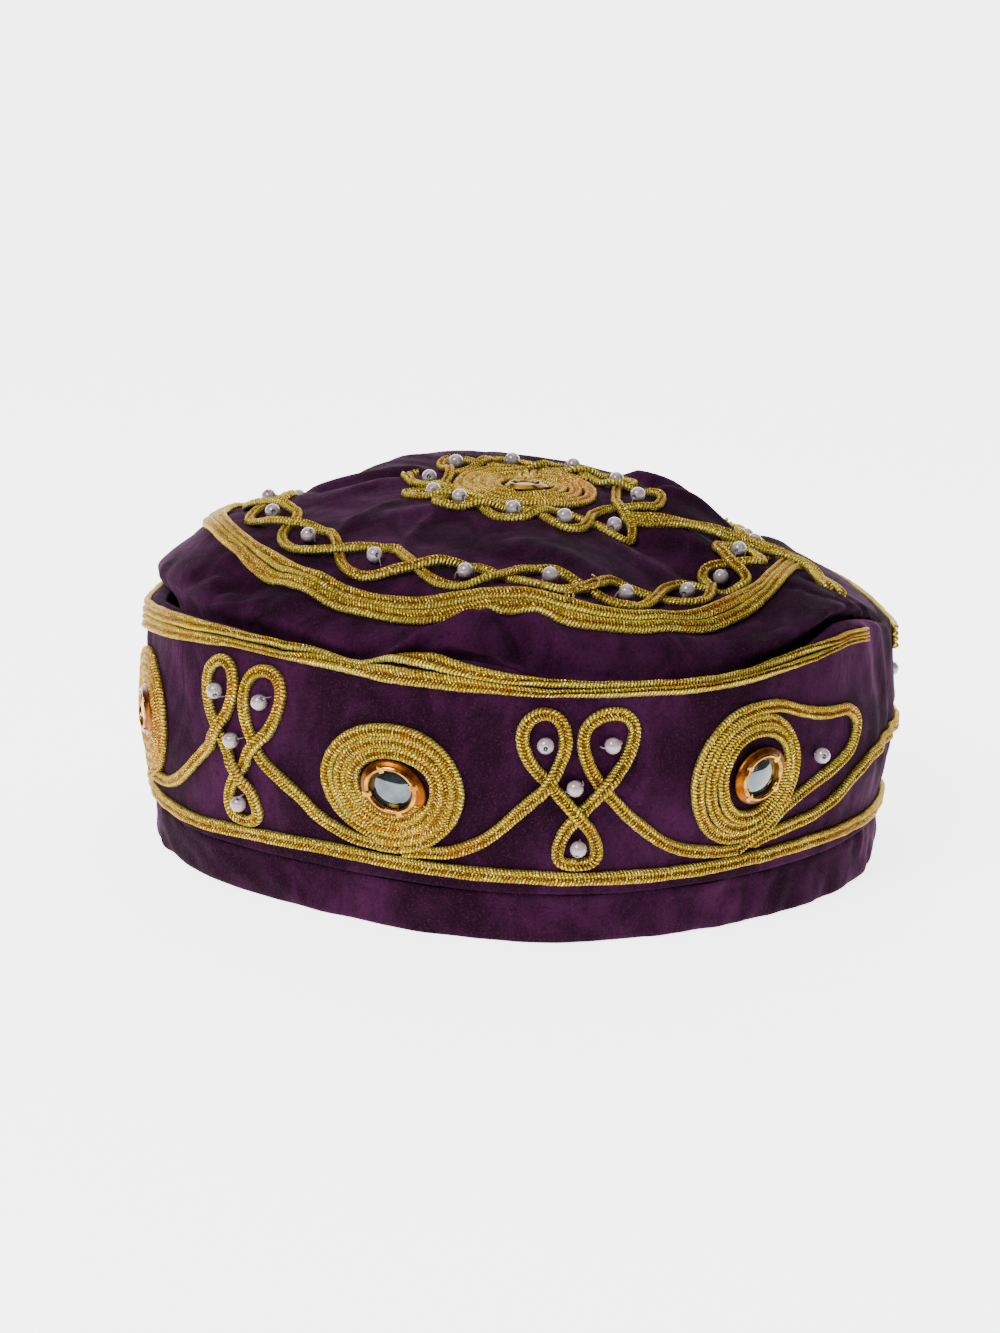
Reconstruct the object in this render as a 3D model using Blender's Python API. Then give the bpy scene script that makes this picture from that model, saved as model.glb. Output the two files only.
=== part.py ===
"""A soft velvet kufi with couched gold braid, small mirrors and pearls.

Tables are in millimetres; the model is built in metres with +Z up and its hem on z = 0.
Azimuth is in degrees round the vertical axis: 0 at the front (-Y), 90 at the right (+X).
"""
import math

import bpy
import numpy as np

MM = 0.001
HEM_HEIGHT = 10.8          # turned-up strip at the foot
HEM_CLOTH = 1.5            # thickness of the strip
WALL = 2.2                 # thickness of the band's cloth
CROWN_CLOTH = 1.8          # thickness of the crown's cloth
ROLL = 2.0                 # radius of the rolled top edge of the band
GROOVE_DEPTH = 9.0         # how far the crown's edge hangs inside the band's top edge
GAP = 0.4                  # clearance between sewn layers
SHIFT_X, SHIFT_Y = -2.4467, 1.9604

BRAID_WIDTH = 2.6
BRAID_HEIGHT = 1.25
BRAID_REST = 0.55          # underside of a braid above the cloth
BRAID_STEP = 1.75          # extra height of a braid where it crosses another
TRIM_PITCH = 3.45          # spacing of parallel braids
WAVE_INSET, RING_INSET = 14.2, 5.8    # how far the wavy braids and the ring's inner side lie inside its outer side
PEARL_RADIUS = 2.0
THREAD_RADIUS = 0.32
THREAD_PASS = 5.6          # height of the bead thread where it passes over crossed braids

SEAM_START, SEAM_END = 62.0, 78.0      # the upper trims leave this stretch of the rim bare
AZIMUTH_FACETS = 48
CROWN_X = 1.5              # the medallion sits this far to the right of the axis
FOLD_SPREAD, FOLD_DEPTH = 1.5, 0.6     # the facets carry the folds wider and shallower than the cloth does

# The band. Radii of its outer face at the foot, at the lower trim, at the belly and at the upper trim,
# then the heights of the lower trim, of the upper trim's lower edge and of the rim.
#  azimuth  r_foot r_low  r_belly r_trim z_low z_trim z_top
BAND = (
    (-180.0, 91.0, 91.8, 94.0, 92.0, 16.0, 56.0, 62.5),
    (-150.0, 90.2, 91.2, 93.6, 91.5, 16.0, 55.0, 62.0),
    (-120.0, 90.5, 91.4, 93.6, 91.8, 15.2, 52.5, 60.2),
    (-90.0,  89.6, 91.0, 93.2, 92.4, 14.2, 50.6, 58.6),
    (-70.0,  90.8, 92.4, 93.9, 93.2, 14.6, 54.6, 61.6),
    (-57.0,  91.0, 93.6, 94.4, 93.0, 15.2, 57.4, 62.9),
    (-43.0,  88.6, 91.0, 93.2, 91.0, 16.0, 59.4, 62.8),
    (-30.0,  87.6, 89.2, 92.6, 91.0, 16.6, 59.0, 60.8),
    (-24.0,  88.2, 89.4, 92.8, 91.6, 16.7, 58.6, 60.0),
    (-18.0,  89.2, 89.8, 93.0, 92.0, 16.6, 58.2, 62.4),
    (-10.0,  90.8, 91.4, 93.8, 92.8, 16.4, 57.9, 64.2),
    (-3.0,   91.8, 92.4, 94.4, 93.4, 16.0, 57.8, 63.4),
    (5.0,    92.6, 93.4, 95.0, 94.0, 15.8, 57.6, 59.9),
    (14.0,   92.4, 93.8, 95.4, 94.4, 15.8, 57.4, 58.9),
    (25.0,   91.6, 92.6, 95.2, 94.2, 15.9, 57.4, 58.7),
    (36.0,   91.4, 92.0, 94.4, 93.0, 16.0, 58.2, 59.4),
    (46.0,   92.0, 91.8, 94.0, 92.2, 16.0, 60.0, 62.6),
    (55.0,   92.6, 92.0, 94.2, 92.2, 15.9, 61.4, 66.2),
    (64.0,   92.8, 92.2, 94.8, 92.6, 15.5, 59.6, 64.6),
    (76.0,   92.0, 92.0, 94.8, 93.2, 15.0, 53.6, 59.6),
    (90.0,   90.4, 91.2, 94.4, 93.0, 14.8, 50.0, 57.4),
    (120.0,  90.6, 91.6, 94.4, 92.4, 15.4, 52.6, 59.6),
    (150.0,  90.8, 91.4, 93.6, 91.6, 16.0, 55.2, 62.0),
)

# The crown. Radius and height of its braid ring's outer side, height of the ring's inner side, heights of the
# cloth 14 mm inside the ring, half way in and at the medallion's rim, then the side bulge's radius and how far
# the bulge stands above the band's top edge.
#  azimuth  r_ring z_ring z_inner z_wave z_half z_rim r_bulge lift
CROWN = (
    (-180.0, 77.0, 71.2, 74.6, 77.0, 86.6, 87.0, 88.0, 3.6),
    (-150.0, 78.0, 71.6, 74.2, 76.2, 88.0, 88.2, 88.2, 3.6),
    (-120.0, 79.0, 71.6, 73.2, 74.6, 87.0, 87.6, 88.4, 3.8),
    (-104.0, 79.0, 73.8, 76.0, 77.2, 86.2, 87.0, 89.4, 5.4),
    (-90.0,  79.0, 75.2, 78.2, 80.0, 84.8, 86.6, 90.0, 6.6),
    (-70.0,  78.0, 77.0, 78.6, 79.6, 83.0, 85.7, 89.4, 6.2),
    (-52.0,  77.2, 73.6, 76.2, 78.0, 82.2, 85.4, 87.0, 4.2),
    (-40.0,  76.8, 70.7, 74.0, 77.2, 81.6, 85.0, 86.0, 4.0),
    (-29.0,  76.6, 68.4, 72.2, 77.0, 81.2, 84.6, 85.6, 3.6),
    (-20.0,  76.5, 68.1, 72.4, 76.6, 81.0, 84.2, 85.6, 3.0),
    (-12.0,  76.5, 69.5, 74.2, 76.0, 80.9, 84.0, 85.4, 2.2),
    (-5.0,   76.5, 71.7, 76.2, 76.2, 81.0, 83.9, 84.6, 1.6),
    (1.0,    76.5, 72.1, 76.0, 76.3, 80.9, 83.7, 83.6, 1.6),
    (8.0,    76.4, 69.0, 73.6, 75.3, 80.4, 83.3, 83.6, 2.6),
    (16.0,   76.2, 67.7, 71.6, 73.2, 79.4, 82.8, 84.2, 3.4),
    (26.0,   76.0, 66.9, 70.0, 71.2, 77.9, 82.2, 84.8, 3.6),
    (36.0,   75.6, 66.3, 69.7, 70.0, 76.9, 81.6, 85.4, 3.4),
    (45.0,   75.0, 67.6, 71.0, 70.6, 76.7, 81.4, 86.2, 2.8),
    (54.0,   73.4, 70.8, 72.0, 71.8, 77.6, 82.0, 87.2, 2.0),
    (64.0,   71.6, 74.0, 74.0, 74.6, 79.2, 82.8, 87.2, 2.4),
    (76.0,   71.0, 71.6, 73.4, 75.0, 81.2, 84.0, 88.4, 2.0),
    (90.0,   71.6, 66.6, 69.4, 72.4, 82.4, 84.6, 88.4, 1.6),
    (120.0,  74.0, 65.0, 68.0, 71.0, 83.4, 85.2, 88.0, 2.2),
    (150.0,  75.8, 69.0, 72.0, 75.0, 84.6, 86.0, 88.0, 3.0),
)

# Folds of the crown cloth, each a crest (+) or a valley (-) along a straight line in plan.
#  name            x0     y0     x1     y1    width height
FOLDS = (
    ("pinch_crest", -12.0, -80.0, -30.0, -89.0, 4.0,  2.4),
    ("pinch_valley",   0.0, -83.0,  10.0, -88.0, 4.6, -3.4),
    ("pinch_cleft",  -26.0, -90.0,  -2.0, -87.0, 3.0, -2.0),
    ("left_crease",  -70.0, -47.0, -58.0, -50.0, 2.6, -1.6),
    ("left_dimple",  -66.0, -44.0, -63.0, -52.0, 4.0, -1.8),
    ("left_ridge",   -56.0, -64.0, -47.0, -56.0, 3.0,  1.2),
    ("top_ridge_1",  -52.0,  10.0, -28.0,  14.0, 3.0,  1.0),
    ("top_ridge_2",  -46.0,  -4.0, -27.0,   6.0, 3.2,  1.1),
    ("top_valley_1", -50.0,   3.0, -30.0,   9.0, 2.6, -1.1),
    ("top_ridge_3",  -40.0, -26.0, -20.0, -22.0, 4.0,  1.0),
    ("front_ridge",    0.0, -44.0,  18.0, -50.0, 4.0,  1.2),
    ("right_valley",  26.0, -22.0,  48.0, -40.0, 4.0, -2.0),
    ("right_ridge",   32.0, -14.0,  56.0, -30.0, 3.6,  1.4),
    ("right_valley2", 34.0,  -6.0,  58.0, -20.0, 3.4, -1.4),
    ("crown_peak",   -36.0, 46.0, -10.0,  52.0, 9.0,  1.6),
    ("back_ridge",    36.0,   8.0,  56.0,   2.0, 3.2,  2.0),
    ("back_ridge2",   30.0,  26.0,  52.0,  18.0, 3.4,  2.0),
    ("back_valley",   34.0,  17.0,  54.0,  10.0, 3.2, -1.6),
    ("gather_1",      76.0, -38.0,  84.0, -34.0, 2.2, -1.8),
    ("gather_2",      78.0, -30.0,  88.0, -25.0, 2.2, -1.8),
    ("gather_3",      78.0, -22.0,  90.0, -18.0, 2.4, -1.6),
    ("back_fold_1",  -30.0,  60.0, -42.0,  78.0, 4.0, -1.8),
    ("back_fold_2",   18.0,  62.0,  24.0,  84.0, 4.0, -1.8),
    ("back_fold_3",   58.0,  40.0,  70.0,  52.0, 4.0,  1.6),
)

# Coiled discs on the band: middle, half width and half height, and the sideways shift of the bezel.
#  name  azimuth height half_width half_height bezel_shift
COILS = (
    ("1", -72.6, 34.6, 16.8, 15.0, 0.6),
    ("2", -18.3, 34.6, 17.6, 14.2, 1.7),
    ("3", 33.4, 36.6, 15.2, 15.2, 2.4),
    ("4", 126.0, 34.2, 16.4, 14.2, 1.0),
    ("5", 175.0, 34.4, 17.0, 14.2, -1.0),
    ("6", -134.0, 34.4, 17.0, 14.2, 1.2),
)

# Looped figures on the band, each between the coils named.
#  name  azimuth coil_before coil_after
FIGURES = (
    ("1", -43.2, 0, 1),
    ("2", 8.0, 1, 2),
    ("3", 99.0, 2, 3),
    ("4", 150.5, 3, 4),
    ("5", -159.5, 4, 5),
    ("6", -108.0, 5, 0),
)

# One run of a figure between its two tails: sideways from its middle, height, and 1 where it passes over itself.
#  along  height over
FIGURE_RUN = (
    (-8.7, 35.6, 0), (-6.6, 38.5, 1), (-4.5, 42.2, 0), (-3.1, 46.5, 0), (-3.3, 50.2, 0), (-4.9, 53.0, 0),
    (-7.8, 54.0, 0), (-10.9, 52.6, 0), (-12.5, 49.3, 0), (-11.8, 45.1, 0), (-9.5, 41.4, 0), (-6.6, 38.5, 0),
    (-3.4, 34.8, 0), (0.3, 30.7, 1), (3.2, 27.1, 0), (4.7, 23.2, 0), (4.5, 20.8, 0), (2.6, 19.6, 0),
    (-0.9, 19.4, 0), (-3.3, 20.1, 0), (-3.9, 22.8, 0), (-2.5, 27.2, 0), (0.3, 30.7, 0), (2.9, 33.8, 0),
    (5.5, 37.2, 1), (8.9, 40.9, 0), (11.5, 45.7, 0), (12.3, 50.3, 0), (10.6, 53.2, 0), (7.4, 54.0, 0),
    (3.9, 53.2, 0), (1.3, 50.6, 0), (0.9, 46.6, 0), (2.6, 41.6, 0), (5.5, 37.2, 0), (8.3, 34.0, 0),
)
FIGURE_FOOT, FIGURE_TOP = 19.6, 54.0
# A tail from a figure's shoulder (0) to the foot of the next coil (1).
#  share height
TAIL = ((0.16, 31.2), (0.33, 26.6), (0.5, 23.3), (0.7, 21.0), (0.85, 20.3), (1.0, 19.9))
# The long tail from the foot of coil 3 up to figure 3: sideways from the figure's middle, height.
LONG_TAIL = ((-103.8, 20.6), (-98.2, 22.0), (-87.3, 23.6), (-78.0, 26.5), (-67.3, 33.4), (-57.6, 37.4), (-45.0, 38.8),
             (-29.0, 38.4), (-15.0, 35.8))
# Pearls of a figure in thread order.
#  along  height
FIGURE_PEARLS = ((0.4, 23.6), (-0.9, 37.6), (-7.5, 47.2), (7.0, 47.2))

# The loose loop beside coil 3 and its pearl: sideways from the coil's middle, height.
SIDE_LOOP = ((14.6, 51.2), (20.0, 50.4), (27.6, 48.4), (33.4, 44.6), (34.6, 40.4), (29.6, 36.4), (22.6, 31.4), (17.4, 27.4))
SIDE_PEARL = (22.4, 41.4)

# Azimuths of the eyes that two wavy braids make inside the crown's ring, and how far they swing.
WAVE_EYES = (-75.0, -55.0, -34.0, -13.0, 5.0, 22.0, 39.0, 54.0, 64.5, 75.0, 86.0, 105.9, 125.8, 145.7, 165.6,
             185.5, 205.4, 225.3, 245.2, 265.1)
EMPTY_EYE = 9              # the radial braids pass through this one
WAVE_Q, WAVE_SWING = 0.782, 4.9
# Azimuths of the pearls round the medallion.
MEDALLION_PEARLS = (-93.0, -61.0, -40.0, -9.0, 17.0, 44.0, 84.0, 120.0, 154.0, 191.0, 229.0)
MEDALLION_RADIUS, MEDALLION_SWING = 25.6, 4.6
COIL_CENTRE_RADIUS = 18.2
# The double braid from the medallion over the ring to the side seam.
#  azimuth  q    lift
RADIAL = (
    (62.5, 0.47, 0.0), (68.0, 0.55, 0.2), (73.5, 0.63, 1.3), (75.0, 0.67, 2.0), (75.3, 0.72, 2.0), (75.2, 0.80, 2.0),
    (74.6, 0.86, 1.6), (74.3, 0.92, 1.2), (74.0, 0.98, 1.4), (73.4, 1.03, 1.1), (72.0, 1.10, 0.2), (69.5, 1.18, 0.0),
    (66.8, 1.26, 0.0), (64.6, 1.33, 0.0),
)

VELVET = (0.040, 0.008, 0.055)
GOLD = (0.52, 0.36, 0.07)
COPPER = (0.60, 0.22, 0.06)
GLASS = (0.34, 0.39, 0.40)
PEARL = (0.78, 0.72, 0.74)


def round_spline(rows, column, azimuth):
    """Smooth closed curve through one column of a table of sections, at the given azimuths in degrees."""
    knot = np.array([row[0] for row in rows])
    value = np.array([row[column] for row in rows])
    knot = np.concatenate([knot[-2:] - 360.0, knot, knot[:2] + 360.0])
    value = np.concatenate([value[-2:], value, value[:2]])
    step = np.diff(knot)
    rise = np.diff(value) / step
    slope = np.zeros(len(knot))
    slope[1:-1] = (rise[:-1] * step[1:] + rise[1:] * step[:-1]) / (step[1:] + step[:-1])
    a = (np.asarray(azimuth, float) + 180.0) % 360.0 - 180.0
    i = np.clip(np.searchsorted(knot, a, side="right") - 1, 1, len(knot) - 3)
    t = (a - knot[i]) / step[i]
    h = step[i]
    return ((2 * t**3 - 3 * t**2 + 1) * value[i] + (t**3 - 2 * t**2 + t) * h * slope[i]
            + (3 * t**2 - 2 * t**3) * value[i + 1] + (t**3 - t**2) * h * slope[i + 1])


def curve_through(knot, value, at):
    """Smooth curve through a few stations of one section; knot and value have one row per section."""
    step = np.diff(knot, axis=0)
    rise = np.diff(value, axis=0) / step
    slope = np.empty_like(value)
    slope[1:-1] = (rise[:-1] * step[1:] + rise[1:] * step[:-1]) / (step[1:] + step[:-1])
    slope[0], slope[-1] = rise[0], rise[-1]
    i = np.clip((at[None] > knot[1:-1]).sum(0), 0, len(knot) - 2)
    c = np.arange(knot.shape[1])
    h = step[i, c]
    t = (at - knot[i, c]) / h
    return ((2 * t**3 - 3 * t**2 + 1) * value[i, c] + (t**3 - 2 * t**2 + t) * h * slope[i, c]
            + (3 * t**2 - 2 * t**3) * value[i + 1, c] + (t**3 - t**2) * h * slope[i + 1, c])


def ramp(x, low, high):
    t = np.clip((x - low) / (high - low), 0.0, 1.0)
    return t * t * (3.0 - 2.0 * t)


def band_wall(azimuth, z):
    """Radius of the band's outer face at a height, below the rolled edge."""
    az = np.asarray(azimuth, float)
    get = lambda c: round_spline(BAND, c, az)
    z_low, z_trim = get(5), get(6)
    knots = np.array([0 * z_low, z_low, 0.5 * (z_low + z_trim) - 2.0, z_trim, z_trim + 14.0])
    r_top = get(4) - 1.2
    values = np.array([get(1), get(2), get(3), get(4), r_top - 1.0])
    return curve_through(knots, values, np.asarray(z, float))


def fold_height(x, y):
    lift = np.zeros_like(x)
    for name, x0, y0, x1, y1, width, height in FOLDS:
        length = math.hypot(x1 - x0, y1 - y0)
        ux, uy = (x1 - x0) / length, (y1 - y0) / length
        along = (x - x0) * ux + (y - y0) * uy
        across = (y - y0) * ux - (x - x0) * uy
        beyond = np.maximum(np.maximum(-along, along - length), 0.0)
        lift += FOLD_DEPTH * height * np.exp(-(across**2 + beyond**2) / (FOLD_SPREAD * width) ** 2)
    return lift


def crown_point(azimuth, q):
    """Point of the crown's outer face. q is 0 at the middle, 1 at the ring's outer side and 2 in the groove."""
    az = np.asarray(azimuth, float)
    q = np.asarray(q, float) + 0.0 * az
    get = lambda c: round_spline(CROWN, c, az)
    top = round_spline(BAND, 7, az)
    r_in = band_wall(az, top - ROLL) - 2.0 * ROLL - 2.2
    r_ring, z_ring, r_bulge, z_bulge = get(1), get(2), get(7), top + get(8)
    zero = 0.0 * az
    knots = np.array([zero, zero + 0.19, zero + 0.37, zero + 0.58, zero + 0.79, zero + 0.876, zero + 1.0,
                      zero + 1.17, zero + 1.40, zero + 1.66, zero + 2.0])
    radii = np.array([zero, 0.19 * r_ring, 0.37 * r_ring, 0.58 * r_ring, r_ring - WAVE_INSET, r_ring - RING_INSET, r_ring,
                      0.62 * r_ring + 0.38 * r_bulge, r_bulge, r_in, r_in - 0.3])
    z_sh = z_ring * 0.55 + z_bulge * 0.45 + 1.2
    heights = np.array([zero + 86.4, zero + 0.35 * 86.4 + 0.65 * (86.4 * 0.4 + get(6) * 0.6), get(6), get(5), get(4), get(3), z_ring,
                        z_sh, z_bulge, top - 0.6, top - GROOVE_DEPTH])
    r, z = curve_through(knots, radii, q), curve_through(knots, heights, q)
    a = np.radians(az)
    x = r * np.sin(a) + CROWN_X * ramp(1.0 - q, 0.0, 0.6)
    y = -r * np.cos(a)
    z = z + fold_height(x, y) * ramp(1.62 - q, 0.0, 0.25)
    return np.stack([x, y, z], -1)


class Facets:
    """A face of the cloth on its own grid of vertices, so that the trims can follow the facets."""

    def __init__(self, azimuths, rows, grid):
        self.azimuths, self.rows, self.grid = azimuths, rows, grid
        wrap = np.concatenate([grid[:, -1:], grid, grid[:, :1]], 1)
        along = wrap[:, 2:] - wrap[:, :-2]
        across = np.gradient(grid, axis=0)
        normal = np.cross(along, across)
        size = np.linalg.norm(normal, axis=-1, keepdims=True)
        self.normals = np.where(size > 1e-9, normal / np.maximum(size, 1e-9), np.array([0.0, 0.0, 1.0]))
        if (self.normals * grid).sum() < 0.0:
            self.normals = -self.normals

    def _blend(self, field, azimuth, row):
        step = 360.0 / len(self.azimuths)
        a = ((np.asarray(azimuth, float) - self.azimuths[0]) % 360.0) / step
        i = np.minimum(a.astype(int), len(self.azimuths) - 1)
        s = (a - i)[..., None]
        k = np.clip(np.searchsorted(self.rows, row, side="right") - 1, 0, len(self.rows) - 2)
        t = ((row - self.rows[k]) / (self.rows[k + 1] - self.rows[k]))[..., None]
        j = (i + 1) % len(self.azimuths)
        p00, p10, p01, p11 = field[k, i], field[k, j], field[k + 1, i], field[k + 1, j]
        lower = p00 + s * (p10 - p00) + t * (p11 - p10)
        upper = p00 + t * (p01 - p00) + s * (p11 - p01)
        return np.where(s >= t, lower, upper)

    def at(self, azimuth, row):
        row = np.asarray(row, float)
        point = self._blend(self.grid, azimuth, row)
        normal = self._blend(self.normals, azimuth, row)
        return point, normal / np.linalg.norm(normal, axis=-1, keepdims=True)


def polar(azimuth, radius, height):
    a = np.radians(azimuth)
    return np.stack([radius * np.sin(a), -radius * np.cos(a), height + 0.0 * radius], -1)


AZIMUTHS = np.arange(AZIMUTH_FACETS) * (360.0 / AZIMUTH_FACETS) - 180.0


def rim_height(azimuth):
    return round_spline(BAND, 7, azimuth)


def edge_radius(azimuth):
    return band_wall(azimuth, rim_height(azimuth) - ROLL)


def band_face(azimuth, v):
    """Outer face of the band: v is 0 at the hem, 1 where the rim starts to roll and 2 on its inner side."""
    v = np.asarray(v, float) + 0.0 * azimuth
    start = rim_height(azimuth) - ROLL
    z = HEM_HEIGHT + 1.2 + np.clip(v, 0.0, 1.0) * (start - HEM_HEIGHT - 1.2)
    turn = math.pi * np.clip(v - 1.0, 0.0, 1.0)
    radius = band_wall(azimuth, z) - ROLL * (1.0 - np.cos(turn))
    return polar(azimuth, radius, z + ROLL * np.sin(turn))


def band_row(azimuth, height, arc=0.0):
    """Row of band_face for a height, plus an arc length measured on from there over the rim."""
    start = rim_height(azimuth) - ROLL
    reach = height + arc
    wall = (np.minimum(reach, start) - HEM_HEIGHT - 1.2) / (start - HEM_HEIGHT - 1.2)
    return wall + np.maximum(reach - start, 0.0) / (math.pi * ROLL)


BAND_ROWS = np.array([0.0, 0.12, 0.3, 0.5, 0.7, 0.87, 1.0, 1.2, 1.4, 1.6, 1.8, 2.0])
CROWN_ROWS = np.array([0.0, 0.19, 0.37, 0.48, 0.58, 0.69, 0.79, 0.876, 0.94, 1.0, 1.085, 1.17, 1.28, 1.4, 1.53, 1.72, 2.0])
LINING_ROWS = np.array([0.3, 0.58, 0.79, 0.9, 1.0, 1.12, 1.28, 1.42, 1.6, 1.97])

BAND_FACETS = Facets(AZIMUTHS, BAND_ROWS, np.array([band_face(AZIMUTHS, v) for v in BAND_ROWS]))
CROWN_FACETS = Facets(AZIMUTHS, CROWN_ROWS, np.array([crown_point(AZIMUTHS, q) for q in CROWN_ROWS]))
SPAN = math.pi / 180.0 * 95.0      # millimetres along the band per degree


# ---------------------------------------------------------------- solids

def material(name, colour, roughness, metallic=0.0):
    mat = bpy.data.materials.new(name)
    mat.use_nodes = True
    shader = mat.node_tree.nodes["Principled BSDF"]
    shader.inputs["Base Color"].default_value = (*colour, 1.0)
    shader.inputs["Roughness"].default_value = roughness
    shader.inputs["Metallic"].default_value = metallic
    mat.diffuse_color = (*colour, 1.0)
    return mat


def add_solid(name, points, triangles, mat):
    points = np.asarray(points, float)
    triangles = np.asarray(triangles, int)
    a, b, c = (points[triangles[:, k]] for k in range(3))
    if np.einsum("ij,ij->i", a, np.cross(b, c)).sum() < 0.0:
        triangles = triangles[:, ::-1]
    mesh = bpy.data.meshes.new(name)
    moved = (points + np.array([SHIFT_X, SHIFT_Y, 0.0])) * MM
    mesh.from_pydata([tuple(p) for p in moved.tolist()], [], [tuple(t) for t in triangles.tolist()])
    mesh.materials.append(mat)
    obj = bpy.data.objects.new(name, mesh)
    bpy.context.scene.collection.objects.link(obj)
    return obj


def quads(rows, columns, row_wrap=False, column_wrap=True):
    """Triangles of a grid of vertices stored row by row."""
    out = []
    for i in range(rows if row_wrap else rows - 1):
        for j in range(columns if column_wrap else columns - 1):
            k, m = (i + 1) % rows, (j + 1) % columns
            a, b, c, d = i * columns + j, i * columns + m, k * columns + m, k * columns + j
            out += [(a, b, c), (a, c, d)]
    return out


def add_hoop(name, sections, mat):
    """Closed solid from a grid of sections that closes both ways."""
    grid = np.asarray(sections)
    return add_solid(name, grid.reshape(-1, 3), quads(len(grid), grid.shape[1], True, True), mat)


def add_sweep(name, path, normal, profile, mat, closed=False, course=None):
    """Solid swept along a path. profile has one row per path point of (sideways, outward) pairs."""
    if course is not None:
        ahead = course
    elif closed:
        ahead = np.roll(path, -1, 0) - np.roll(path, 1, 0)
    else:
        ahead = np.gradient(path, axis=0)
    ahead = ahead / np.linalg.norm(ahead, axis=1, keepdims=True)
    side = np.cross(ahead, normal)
    side /= np.linalg.norm(side, axis=1, keepdims=True)
    out = np.cross(side, ahead)
    grid = path[:, None] + profile[:, :, :1] * side[:, None] + profile[:, :, 1:] * out[:, None]
    count, edge = grid.shape[:2]
    triangles = quads(count, edge, closed, True)
    points = grid.reshape(-1, 3)
    if not closed:
        points = np.concatenate([points, grid[:1].mean(1), grid[-1:].mean(1)])
        first, last = count * edge, count * edge + 1
        for k in range(edge):
            m = (k + 1) % edge
            triangles += [(first, m, k), (last, (count - 1) * edge + k, (count - 1) * edge + m)]
    return add_solid(name, points, triangles, mat)


def braid_profile(count, width=BRAID_WIDTH):
    half = 0.5 * np.broadcast_to(np.asarray(width, float), (count,))
    crest = half * 0.62
    zero = 0.0 * half
    return np.stack([np.stack([-half, zero], -1), np.stack([half, zero], -1),
                     np.stack([crest, zero + BRAID_HEIGHT], -1), np.stack([-crest, zero + BRAID_HEIGHT], -1)], 1)


def on_cloth(facets, azimuth, row, height):
    point, normal = facets.at(azimuth, row)
    return point + normal * np.asarray(height, float)[..., None], normal


def smooth_path(points, count, closed=False):
    """Evenly spaced points on a smooth curve through a table of points."""
    p = np.asarray(points, float)
    if closed:
        p = np.concatenate([p[-2:], p, p[:3]])
    else:
        p = np.concatenate([2 * p[:1] - p[1:2], p, 2 * p[-1:] - p[-2:-1]])
    fine = []
    for k in range(1, len(p) - 2):
        for t in np.linspace(0.0, 1.0, 12, endpoint=False):
            a, b, c, d = p[k - 1], p[k], p[k + 1], p[k + 2]
            fine.append(0.5 * (2 * b + (c - a) * t + (2 * a - 5 * b + 4 * c - d) * t**2 + (3 * b - a - 3 * c + d) * t**3))
    fine.append(p[-2])
    fine = np.array(fine)
    if closed:
        fine = fine[12:-12]
    gone = np.concatenate([[0.0], np.cumsum(np.linalg.norm(np.diff(fine[:, :2], axis=0), axis=1))])
    at = np.linspace(0.0, gone[-1], count + 1)[:-1] if closed else np.linspace(0.0, gone[-1], count)
    return np.stack([np.interp(at, gone, fine[:, k]) for k in range(fine.shape[1])], -1)


# ---------------------------------------------------------------- cloth

def build_hem(mat):
    #  inset from the outer face, height
    section = ((1.2, 0.0), (0.0, 1.1), (0.0, 9.7), (0.7, 10.6), (1.5, 10.3), (1.5, 1.6), (4.3, 1.6), (4.3, 9.0),
               (5.8, 9.0), (5.8, 0.9), (5.0, 0.0))
    rows = [polar(AZIMUTHS, band_wall(AZIMUTHS, 0.0 * AZIMUTHS + z) - inset, z) for inset, z in section]
    return add_hoop("hem", rows, mat)


def build_band(mat):
    foot = HEM_CLOTH + GAP
    az = AZIMUTHS
    wall = lambda z: band_wall(az, 0.0 * az + z)
    rows = [polar(az, wall(2.0) - foot - WALL + 0.3, 2.0), polar(az, wall(2.0) - foot, 2.0),
            polar(az, wall(HEM_HEIGHT) - foot, HEM_HEIGHT + 0.3)]
    rows += list(BAND_FACETS.grid)
    start = rim_height(az) - ROLL
    rows.append(polar(az, edge_radius(az) - 2.0 * ROLL, rim_height(az) - GROOVE_DEPTH + 0.8))
    low = rim_height(az) - GROOVE_DEPTH - 0.8
    rows.append(polar(az, band_wall(az, low) - WALL, low))
    for share in (0.62, 0.25):
        z = HEM_HEIGHT + 1.2 + share * (start - HEM_HEIGHT - 1.2)
        rows.append(polar(az, band_wall(az, z) - WALL, z))
    rows.append(polar(az, wall(HEM_HEIGHT) - foot - WALL + 0.3, HEM_HEIGHT + 1.2))
    return add_hoop("band", rows, mat)


def build_crown(mat):
    outer = CROWN_FACETS.grid[1:]
    inner = []
    for q in LINING_ROWS:
        point, normal = CROWN_FACETS.at(AZIMUTHS, 0.0 * AZIMUTHS + q)
        if q > 1.3:
            normal = polar(AZIMUTHS, 1.0 + 0.0 * AZIMUTHS, 0.0)
        if 1.3 < q < 1.5:
            normal = normal * 0.75 + np.array([0.0, 0.0, 0.75])
        inner.append(point - CROWN_CLOTH * normal)
    rows = np.array(list(outer) + inner[::-1])
    top = crown_point(AZIMUTHS, 0.0).mean(0)
    points = np.concatenate([rows.reshape(-1, 3), top[None], top[None] - np.array([[0.0, 0.0, CROWN_CLOTH]])])
    count = len(rows) * AZIMUTH_FACETS
    triangles = quads(len(rows), AZIMUTH_FACETS, False, True)
    for j in range(AZIMUTH_FACETS):
        m = (j + 1) % AZIMUTH_FACETS
        triangles += [(count, m, j), (count + 1, count - AZIMUTH_FACETS + j, count - AZIMUTH_FACETS + m)]
    return add_solid("crown", points, triangles, mat)


# ---------------------------------------------------------------- braid

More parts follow.
